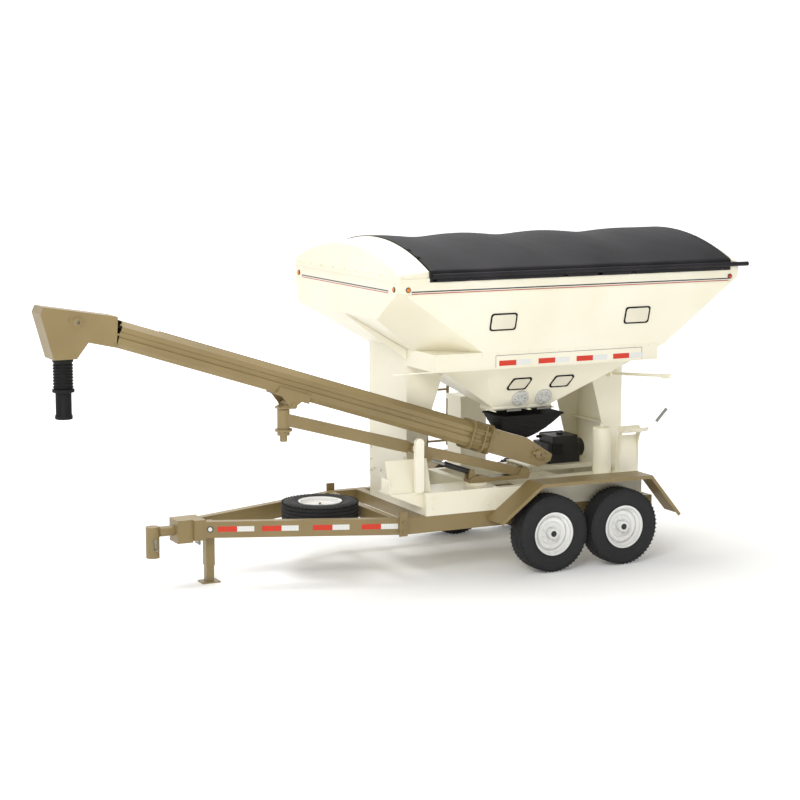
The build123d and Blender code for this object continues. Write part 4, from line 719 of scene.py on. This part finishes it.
def boltTree():
    tree, given = newGeometryTree("hexBolts", (
        ("points", "Geometry", None), ("headRadius", "Float", 0.012), ("headHeight", "Float", 0.008),
        ("washerRadius", "Float", 0.016), ("steel", "Material", None)))
    head = addNode(tree, "GeometryNodeMeshCylinder", {"in:Vertices": 6},
                   {"Radius": given.outputs["headRadius"], "Depth": given.outputs["headHeight"]})
    lift = addNode(tree, "ShaderNodeMath", {"operation": "MULTIPLY_ADD", "in:1": 0.5, "in:2": 0.002},
                   {0: given.outputs["headHeight"]})
    up = addNode(tree, "ShaderNodeCombineXYZ", links={"Z": lift.outputs[0]})
    raised = addNode(tree, "GeometryNodeTransform",
                     links={"Geometry": head.outputs[0], "Translation": up.outputs[0]})
    washer = addNode(tree, "GeometryNodeMeshCylinder", {"in:Vertices": 16, "in:Depth": 0.0025},
                     {"Radius": given.outputs["washerRadius"]})
    bolt = addNode(tree, "GeometryNodeJoinGeometry")
    tree.links.new(raised.outputs[0], bolt.inputs[0])
    tree.links.new(washer.outputs[0], bolt.inputs[0])
    facing = addNode(tree, "GeometryNodeInputNamedAttribute",
                     {"data_type": "FLOAT_VECTOR", "in:Name": "facing"})
    aim = addNode(tree, "FunctionNodeAlignRotationToVector", {"axis": "Z"}, {"Vector": facing.outputs[0]})
    spread = addNode(tree, "GeometryNodeInstanceOnPoints", links={"Points": given.outputs["points"],
                                                                  "Instance": bolt.outputs[0],
                                                                  "Rotation": aim.outputs[0]})
    real = addNode(tree, "GeometryNodeRealizeInstances", links={"Geometry": spread.outputs[0]})
    done = addNode(tree, "GeometryNodeSetMaterial",
                   links={"Geometry": real.outputs[0], "Material": given.outputs["steel"]})
    addNode(tree, "NodeGroupOutput", links={0: done.outputs[0]})
    return tree


hexBolts = boltTree()


def boltRow(start, end, count):
    start, end = Vector(start), Vector(end)
    return [start.lerp(end, i / max(1, count - 1)) for i in range(count)]


def makeBolts(name, body, rows, headRadius=0.012, headHeight=0.008, steel=None):
    # rows is a list of (facing, points)
    mesh = bpy.data.meshes.new(name + "Points")
    points = [p for _, row in rows for p in row]
    mesh.from_pydata([tuple(p) for p in points], [], [])
    attribute = mesh.attributes.new("facing", "FLOAT_VECTOR", "POINT")
    facings = [f for f, row in rows for _ in row]
    for item, facing in zip(attribute.data, facings):
        item.vector = facing
    steel = steel or zincSteel
    made = runTree(name, hexBolts, {"headRadius": headRadius, "headHeight": headHeight,
                                    "washerRadius": headRadius * 1.35, "steel": steel}, mesh)
    bm = bmesh.new()
    bm.from_mesh(made)
    return smoothMesh(name, bm, [steel], body, smooth=False)


belt = place("hopper_belt")
shell = place("hopper_shell")
legs = place("hopper_legs")
boltSizes = {"legBolt": 0.011, "frameBolt": 0.014, "clampBolt": 0.008, "beltBolt": 0.009, "capBolt": 0.008}
boltPlaces = {"legHeights": (0.90, 1.02, 1.14), "legFoot": 0.93, "nearRail": -0.85,
              "railHeights": (0.70, 0.80),
              "deckTop": 0.858, "beltHeight": 2.215, "capHeight": 3.014, "capSide": 1.2185}
left, right, front, rear, top = (0, -1, 0), (0, 1, 0), (-1, 0, 0), (1, 0, 0), (0, 0, 1)
legRows = []
for x, facing in ((legs[0].x, front), (legs[1].x, rear)):
    for z in boltPlaces["legHeights"]:
        legRows.append((facing, boltRow((x, -0.38, z), (x, 0.38, z), 2)))
    legRows.append((facing, boltRow((x, -0.32, boltPlaces["legFoot"]), (x, 0.32, boltPlaces["legFoot"]), 5)))
makeBolts("legBolts", "chassis", legRows, boltSizes["legBolt"], steel=creamEnamel)
frameRows = []
railLow, railHigh = boltPlaces["railHeights"]
for x in (2.02, 2.64, 4.36):
    frameRows.append((left, boltRow((x, boltPlaces["nearRail"], railLow),
                                    (x, boltPlaces["nearRail"], railHigh), 2)))
for y, start, end, count in ((-0.48, 1.99, 2.50, 4), (-0.82, 1.99, 2.72, 5), (-0.82, 3.52, 4.40, 6)):
    frameRows.append((top, boltRow((start, y, boltPlaces["deckTop"]), (end, y, boltPlaces["deckTop"]),
                                   count)))
makeBolts("frameBolts", "chassis", frameRows, boltSizes["frameBolt"], steel=creamEnamel)
beltZ = boltPlaces["beltHeight"]
beltRows = [(left, boltRow((2.10, belt[0].y, beltZ), (4.36, belt[0].y, beltZ), 14))]
makeBolts("beltBolts", "chassis", beltRows, boltSizes["beltBolt"], 0.006, steel=creamEnamel)
capZ, capSide = boltPlaces["capHeight"], boltPlaces["capSide"]
capRows = [
    (left, boltRow((1.50, -capSide, capZ), (1.76, -capSide, capZ), 3)),
    (right, boltRow((1.50, capSide, capZ), (1.76, capSide, capZ), 3)),
    (front, boltRow((shell[0].x, -1.1, capZ), (shell[0].x, 1.1, capZ), 9)),
    (rear, boltRow((shell[1].x, -1.1, capZ), (shell[1].x, 1.1, capZ), 9)),
]
makeBolts("capBolts", "chassis", capRows, boltSizes["capBolt"], 0.005, steel=creamEnamel)


# ---- conveyor trim

conveyorSizes = {"startX": 0.3, "startZ": 2.1}
bearingSizes = {"tail": 3.14, "tailReach": 0.143, "head": -1.9, "headReach": 0.14, "boltApart": 0.068}
seamSizes = {"start": -1.07, "height": 0.122, "length": 3.38, "apart": 0.030, "wide": 0.012, "thick": 0.008}

def onConveyor(s, h):
    # metres along the conveyor towards its tail, and above its centre line
    x = conveyorSizes["startX"] + s * math.cos(conveyorAngle) + h * math.sin(conveyorAngle)
    return x, conveyorSizes["startZ"] - s * math.sin(conveyorAngle) + h * math.cos(conveyorAngle)


conveyorY = (place("conveyor_tube")[0].y + place("conveyor_tube")[1].y) / 2
along = Vector((math.cos(conveyorAngle), 0, -math.sin(conveyorAngle)))
lift = Vector((math.sin(conveyorAngle), 0, math.cos(conveyorAngle)))
conveyorRows = []
for s in (2.323, 2.463):
    for side in (-1, 1):
        for h in (-0.10, 0, 0.10):
            x, z = onConveyor(s, h)
            conveyorRows.append((tuple(-along), [Vector((x, conveyorY + side * 0.138, z))]))
for side in (-1, 1):
    facing = (0, side, 0)
    for s, h in ((-1.46, 0.09), (-1.46, 0), (-1.46, -0.09)):
        x, z = onConveyor(s, h)
        conveyorRows.append((facing, [Vector((x - 0.04, conveyorY + side * 0.14, z + 0.01))]))
    for s, h in ((2.62, 0.09), (2.62, -0.09), (2.86, -0.09), (3.06, 0.05), (3.06, -0.05), (3.22, 0.03),
                 (3.22, -0.05)):
        x, z = onConveyor(s, h)
        conveyorRows.append((facing, [Vector((x, conveyorY + side * 0.125, z))]))
makeBolts("conveyorBolts", "conveyor", conveyorRows, boltSizes["clampBolt"], 0.006, steel=tanEnamel)


def makeBearings():
    # flange bearings on both walls of the tail box and on the near wall of the hood
    bm = bmesh.new()
    for s, reach in ((bearingSizes["tail"], bearingSizes["tailReach"]),
                     (bearingSizes["head"], bearingSizes["headReach"])):
        x, z = onConveyor(s, 0)
        for side in (-1, 1):
            if s < 0 and side > 0:
                continue
            base = conveyorY + side * reach
            profile = [(0, 0.052), (0.006, 0.052), (0.008, 0.040), (0.014, 0.034), (0.018, 0.026),
                       (0.018, 0.0165),
                       (0, 0.0165)]
            latheInto(bm, profile, (x, base, z), (0, side, 0), steps=36, close=True)
            for k in (-1, 1):
                start = Vector((x, base, z)) + along * (bearingSizes["boltApart"] * k - 0.018) - lift * 0.016
                slabInto(bm, start, along * 0.036, lift * 0.032, (0, side * 0.007, 0))
    return smoothMesh("flangeBearings", bm, [tanEnamel], "conveyor")


def makeSeams():
    # pressed lips that run the length of the conveyor tube
    bm = bmesh.new()
    x, z = onConveyor(seamSizes["start"], seamSizes["height"])
    for side in (-1, 1):
        start = Vector((x, conveyorY + side * seamSizes["apart"] - seamSizes["wide"] / 2, z))
        slabInto(bm, start, along * seamSizes["length"], (0, seamSizes["wide"], 0), lift * seamSizes["thick"])
    return smoothMesh("tubeSeams", bm, [tanEnamel], "conveyor")


makeBearings()
makeSeams()
print("bolts and conveyor trim done")


# ---- tape, stripes and lamps

tapeSizes = {"height": 0.052, "thick": 0.0008, "red": 0.19, "white": 0.165, "beltFoot": 2.098,
             "tongueFoot": 0.53,
             "markerX": -0.045, "markerHeight": 0.556}
tongueSizes = {"tipX": -0.08, "tipHalf": 0.15, "spread": 0.7 / 1.79}  # how each tongue rail splays outwards
stripeSizes = {"start": 1.60, "end": 5.20, "lines": ((2.868, 0.012, 0), (2.851, 0.008, 1)),
               "boxStart": 2.60, "boxEnd": 4.28, "boxFoot": 2.085, "boxHeight": 0.114, "boxLine": 0.004}
lampHeight = 2.895
hopperHalf = 1.22


def tapePair(bm, start, along, up, out):
    # one red length and one white length, side by side
    start, along, up, out = Vector(start), Vector(along).normalized(), Vector(up), Vector(out).normalized()
    thick = out * tapeSizes["thick"]
    slabInto(bm, start + out * 0.0002, along * tapeSizes["red"], up * tapeSizes["height"], thick, 0)
    slabInto(bm, start + out * 0.0002 + along * tapeSizes["red"], along * tapeSizes["white"],
             up * tapeSizes["height"], thick, 1)


def makeTape():
    bm = bmesh.new()
    for x in (2.64, 3.08, 3.515, 3.94):
        tapePair(bm, (x, belt[0].y, tapeSizes["beltFoot"]), (1, 0, 0), (0, 0, 1), left)
    spread = tongueSizes["spread"]
    near, outward = Vector((1, -spread, 0)).normalized(), Vector((-spread, -1, 0))
    for x in (0.02, 0.42, 0.88, 1.32):
        y = -(tongueSizes["tipHalf"] + (x - tongueSizes["tipX"]) * spread)
        tapePair(bm, (x, y, tapeSizes["tongueFoot"]), near, (0, 0, 1), outward)
    markerY = -(tongueSizes["tipHalf"] + (tapeSizes["markerX"] - tongueSizes["tipX"]) * spread) - 0.0005
    marker = (tapeSizes["markerX"], markerY, tapeSizes["markerHeight"])
    latheInto(bm, [(0, 0), (0.0, 0.030), (0.006, 0.030), (0.008, 0.026), (0.006, 0.022)], marker, outward, 32,
              materialIndex=2)
    latheInto(bm, [(0.005, 0), (0.005, 0.0215), (0.0065, 0.020), (0.0075, 0.010), (0.0078, 0)], marker,
              outward, 32,
              materialIndex=1)
    return smoothMesh("reflectiveTape", bm, [redTape, whiteTape, chassisBlack], "chassis", smooth=False)


def stripeOn(bm, start, end, up, out, height, index):
    start, end = Vector(start), Vector(end)
    slabInto(bm, start + Vector(out) * 0.0002, end - start, Vector(up) * height, Vector(out) * 0.0006, index)


def makeStripes():
    bm = bmesh.new()
    side = shell[0].y
    start, end = stripeSizes["start"], stripeSizes["end"]
    for z, height, index in stripeSizes["lines"]:
        stripeOn(bm, (start, side, z), (end, side, z), (0, 0, 1), left, height, index)
        stripeOn(bm, (start, -side, z), (end, -side, z), (0, 0, 1), right, height, index)
        stripeOn(bm, (shell[0].x, 1.05, z), (shell[0].x, -1.0, z), (0, 0, 1), front, height, index)
    # a fine outline round the tape on the belt
    line, foot, face = stripeSizes["boxLine"], stripeSizes["boxFoot"], belt[0].y
    boxTop = foot + stripeSizes["boxHeight"]
    stripeOn(bm, (stripeSizes["boxStart"], face, boxTop), (stripeSizes["boxEnd"], face, boxTop), (0, 0, 1),
             left, line, 0)
    for x in (stripeSizes["boxStart"], stripeSizes["boxEnd"] - line):
        stripeOn(bm, (x, face, foot), (x + line, face, foot), (0, 0, 1), left, stripeSizes["boxHeight"], 0)
    return smoothMesh("pinstripes", bm, [navyStripe, redStripe], "chassis", smooth=False)


def makeLamps():
    bm = bmesh.new()
    spots = []
    for y in (-1.12, 1.12):
        spots.append(((shell[0].x, y, lampHeight), front, 1))
        spots.append(((shell[1].x, y, lampHeight), rear, 2))
    for side in (-1, 1):
        spots.append(((shell[0].x + 0.1, side * hopperHalf, lampHeight), (0, side, 0), 1))
        spots.append(((shell[1].x - 0.1, side * hopperHalf, lampHeight), (0, side, 0), 2))
    for centre, facing, index in spots:
        latheInto(bm, [(0, 0), (0, 0.026), (0.006, 0.026), (0.009, 0.023), (0.009, 0.021), (0.004, 0)],
                  centre, facing, 32)
        dome = [(0.005, 0), (0.005, 0.0205)]
        dome += [(0.007 + 0.0135 * math.sin(math.radians(a)),
                  0.0205 * math.cos(math.radians(a))) for a in (0, 20, 40, 60, 78)]
        dome.append((0.0212, 0))
        latheInto(bm, dome, centre, facing, 32, materialIndex=index)
    lamps = smoothMesh("markerLamps", bm, [chassisBlack, amberLens, redLens], "chassis")
    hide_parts("marker_lights")


makeTape()
makeStripes()
makeLamps()


# ---- hopper trim

trimSizes = {"rimFoot": 2.968, "rimHeight": 0.028, "rimThick": 0.010, "beadFoot": 2.840, "beadHeight": 0.008,
             "beadThick": 0.005, "lipThick": 0.004, "lipHeight": 0.012}


def makeHopperTrim():
    # folded rim angle, a bead along both long walls and a lip under the near belt
    bm = bmesh.new()
    length = shell[1].x - shell[0].x
    for side in (-1, 1):
        edge = side * hopperHalf
        slabInto(bm, (shell[0].x + 0.02, edge, trimSizes["rimFoot"]), (length - 0.04, 0, 0),
                 (0, side * trimSizes["rimThick"], 0), (0, 0, trimSizes["rimHeight"]))
        slabInto(bm, (shell[0].x + 0.07, edge, trimSizes["beadFoot"]), (length - 0.14, 0, 0),
                 (0, side * trimSizes["beadThick"], 0), (0, 0, trimSizes["beadHeight"]))
    for x, facing in ((shell[0].x, -1), (shell[1].x, 1)):
        slabInto(bm, (x, 0.01 - hopperHalf, trimSizes["rimFoot"]), (facing * trimSizes["rimThick"], 0, 0),
                 (0, 2 * hopperHalf - 0.02, 0), (0, 0, trimSizes["rimHeight"]))
    lip = trimSizes["lipThick"]
    slabInto(bm, (belt[0].x + 0.02, belt[0].y - lip, belt[0].z), (belt[1].x - belt[0].x - 0.04, 0, 0),
             (0, lip, 0),
             (0, 0, trimSizes["lipHeight"]))
    return smoothMesh("hopperTrim", bm, [creamEnamel], "chassis", smooth=False)


makeHopperTrim()


def makeCradlePanel():
    # sheet between the two posts of the rear cradle, with a folded lower lip
    bm = bmesh.new()
    slabInto(bm, (4.211, -0.786, 0.860), (0.208, 0, 0), (0, 0.034, 0.400), (0, -0.004, 0))
    slabInto(bm, (4.211, -0.806, 0.8585), (0.208, 0, 0), (0, 0.020, 0), (0, 0, 0.004))
    return smoothMesh("cradlePanel", bm, [creamEnamel], "chassis", smooth=False)


makeCradlePanel()


engineSizes = {"fins": 9, "finPitch": 0.013, "finFoot": 0.985, "vanes": 12, "stubRadius": 0.016}
cowlMiddle = Vector((4.235, 0.06, 1.025))


def makeEngineDetail():
    # cooling fins, starter cowl and exhaust stub on the engine
    bm = bmesh.new()
    for i in range(engineSizes["fins"]):
        slabInto(bm, (3.80, -0.125, engineSizes["finFoot"] + i * engineSizes["finPitch"]), (0.12, 0, 0),
                 (0, 0.014, 0),
                 (0, 0, 0.006))
    cowl = [(0, 0.080), (0.008, 0.086), (0.012, 0.078), (0.010, 0.070), (0.010, 0.010), (0.004, 0)]
    latheInto(bm, cowl, cowlMiddle, (1, 0, 0), 40)
    for i in range(engineSizes["vanes"]):
        turn = 2 * math.pi * i / engineSizes["vanes"]
        side = Vector((0, math.cos(turn), math.sin(turn)))
        broad = side.cross(Vector((1, 0, 0)))
        slabInto(bm, cowlMiddle + Vector((0.010, 0, 0)) + side * 0.024 - broad * 0.003, side * 0.040,
                 broad * 0.006,
                 (0.004, 0, 0))
    outer, inner = engineSizes["stubRadius"], engineSizes["stubRadius"] - 0.003
    latheInto(bm, [(0, outer), (0.05, outer), (0.05, inner), (0.0, inner)], (3.83, 0.18, 1.145), (-1, 0, 0),
              24,
              close=True)
    return smoothMesh("engineDetail", bm, [castBlack], "chassis")


makeEngineDetail()


# ---- studio

studioSizes = {"world": 0.40, "key": 1150, "fill": 120, "topLight": 950, "paperGlow": 0.62}


def makeStudio():
    floorBm = bmesh.new()
    depth = [(-60, 0.0), (-30, 0.0), (18, 0.0), (24, 0.5), (28, 2.5), (30, 6.0), (31, 30.0)]
    strip = []
    for y, z in depth:
        strip.append([floorBm.verts.new((x, y, z - 0.0005)) for x in (-70, 70)])
    for a, b in zip(strip, strip[1:]):
        floorBm.faces.new((a[0], a[1], b[1], b[0]))
    mesh = bpy.data.meshes.new("studioFloor")
    floorBm.to_mesh(mesh)
    floorBm.free()
    for face in mesh.polygons:
        face.use_smooth = True
    floor = bpy.data.objects.new("studioFloor", mesh)
    bpy.context.scene.collection.objects.link(floor)
    paper, tree, shader, where = newMaterial("paperSweep")  # matt seamless paper
    shader.inputs["Roughness"].default_value = 0.9
    shader.inputs["Specular IOR Level"].default_value = 0.1
    shader.inputs["Emission Color"].default_value = (1, 1, 1, 1)
    # painted light: the paper glows by its own emission, faint near the machine and brighter further out,
    # standing in for the lamps of a cyclorama
    centred = addNode(tree, "ShaderNodeMapping", {"in:Location": (-2, 0, 0)}, {"Vector": where})
    reach = addNode(tree, "ShaderNodeVectorMath", {"operation": "LENGTH"}, {0: centred.outputs[0]})
    glow = addNode(tree, "ShaderNodeMapRange", {"in:From Min": 3.0, "in:From Max": 11.0, "in:To Min": 0.10,
                                               "in:To Max": studioSizes["paperGlow"]},
                   {"Value": reach.outputs["Value"]})
    tree.links.new(glow.outputs[0], shader.inputs["Emission Strength"])
    fibre = addNode(tree, "ShaderNodeTexNoise", {"in:Scale": perMetre(900), "in:Detail": 3},
                    {"Vector": where})
    ramp = addNode(tree, "ShaderNodeValToRGB", links={"Fac": fibre.outputs["Fac"]})
    ramp.color_ramp.elements[0].color = srgb("#f7f7f5")
    ramp.color_ramp.elements[1].color = srgb("#fbfbfa")
    tree.links.new(ramp.outputs["Color"], shader.inputs["Base Color"])
    mesh.materials.append(paper)


def addArea(name, where, target, size, power):
    light = bpy.data.lights.new(name, "AREA")
    light.shape = "RECTANGLE"
    light.size, light.size_y = size
    light.energy = power
    lamp = bpy.data.objects.new(name, light)
    lamp.location = where
    lamp.rotation_euler = (Vector(target) - Vector(where)).to_track_quat("-Z", "Y").to_euler()
    bpy.context.scene.collection.objects.link(lamp)


makeStudio()
world = bpy.data.worlds.new("studio")
bpy.context.scene.world = world
world.use_nodes = True
background = world.node_tree.nodes["Background"]
background.inputs["Color"].default_value = (1, 1, 1, 1)
background.inputs["Strength"].default_value = studioSizes["world"]
addArea("key", (-7, -11, 10), (2.2, 0, 1.2), (7, 5), studioSizes["key"])
addArea("fill", (10, -12, 7), (2.2, 0, 1.2), (8, 6), studioSizes["fill"])
addArea("topLight", (2, 2, 11), (2.2, 0, 1.0), (9, 7), studioSizes["topLight"])

# the camera stands where the viewer of the catalogue view stands
cameraPlace = Vector((-7.169, -18.767, 4.670))
azimuth, elevation, roll = math.radians(-26.234), math.radians(8.176), math.radians(0.031)
back = Vector((math.sin(azimuth) * math.cos(elevation), -math.cos(azimuth) * math.cos(elevation),
               math.sin(elevation)))
rightWay = Vector((math.cos(azimuth), math.sin(azimuth), 0))
upWay = back.cross(rightWay)
rolledRight = rightWay * math.cos(roll) + upWay * math.sin(roll)
rolledUp = upWay * math.cos(roll) - rightWay * math.sin(roll)
cameraData = bpy.data.cameras.new("catalogueView")
cameraData.sensor_width = 36
cameraData.lens = 94.16
camera = bpy.data.objects.new("catalogueView", cameraData)
bpy.context.scene.collection.objects.link(camera)
camera.matrix_world = Matrix((
    (rolledRight.x, rolledUp.x, back.x, cameraPlace.x),
    (rolledRight.y, rolledUp.y, back.y, cameraPlace.y),
    (rolledRight.z, rolledUp.z, back.z, cameraPlace.z),
    (0, 0, 0, 1)))
bpy.context.scene.camera = camera
bpy.context.scene.view_settings.view_transform = "Standard"  # paint colours show as they are mixed
print("studio and camera set")
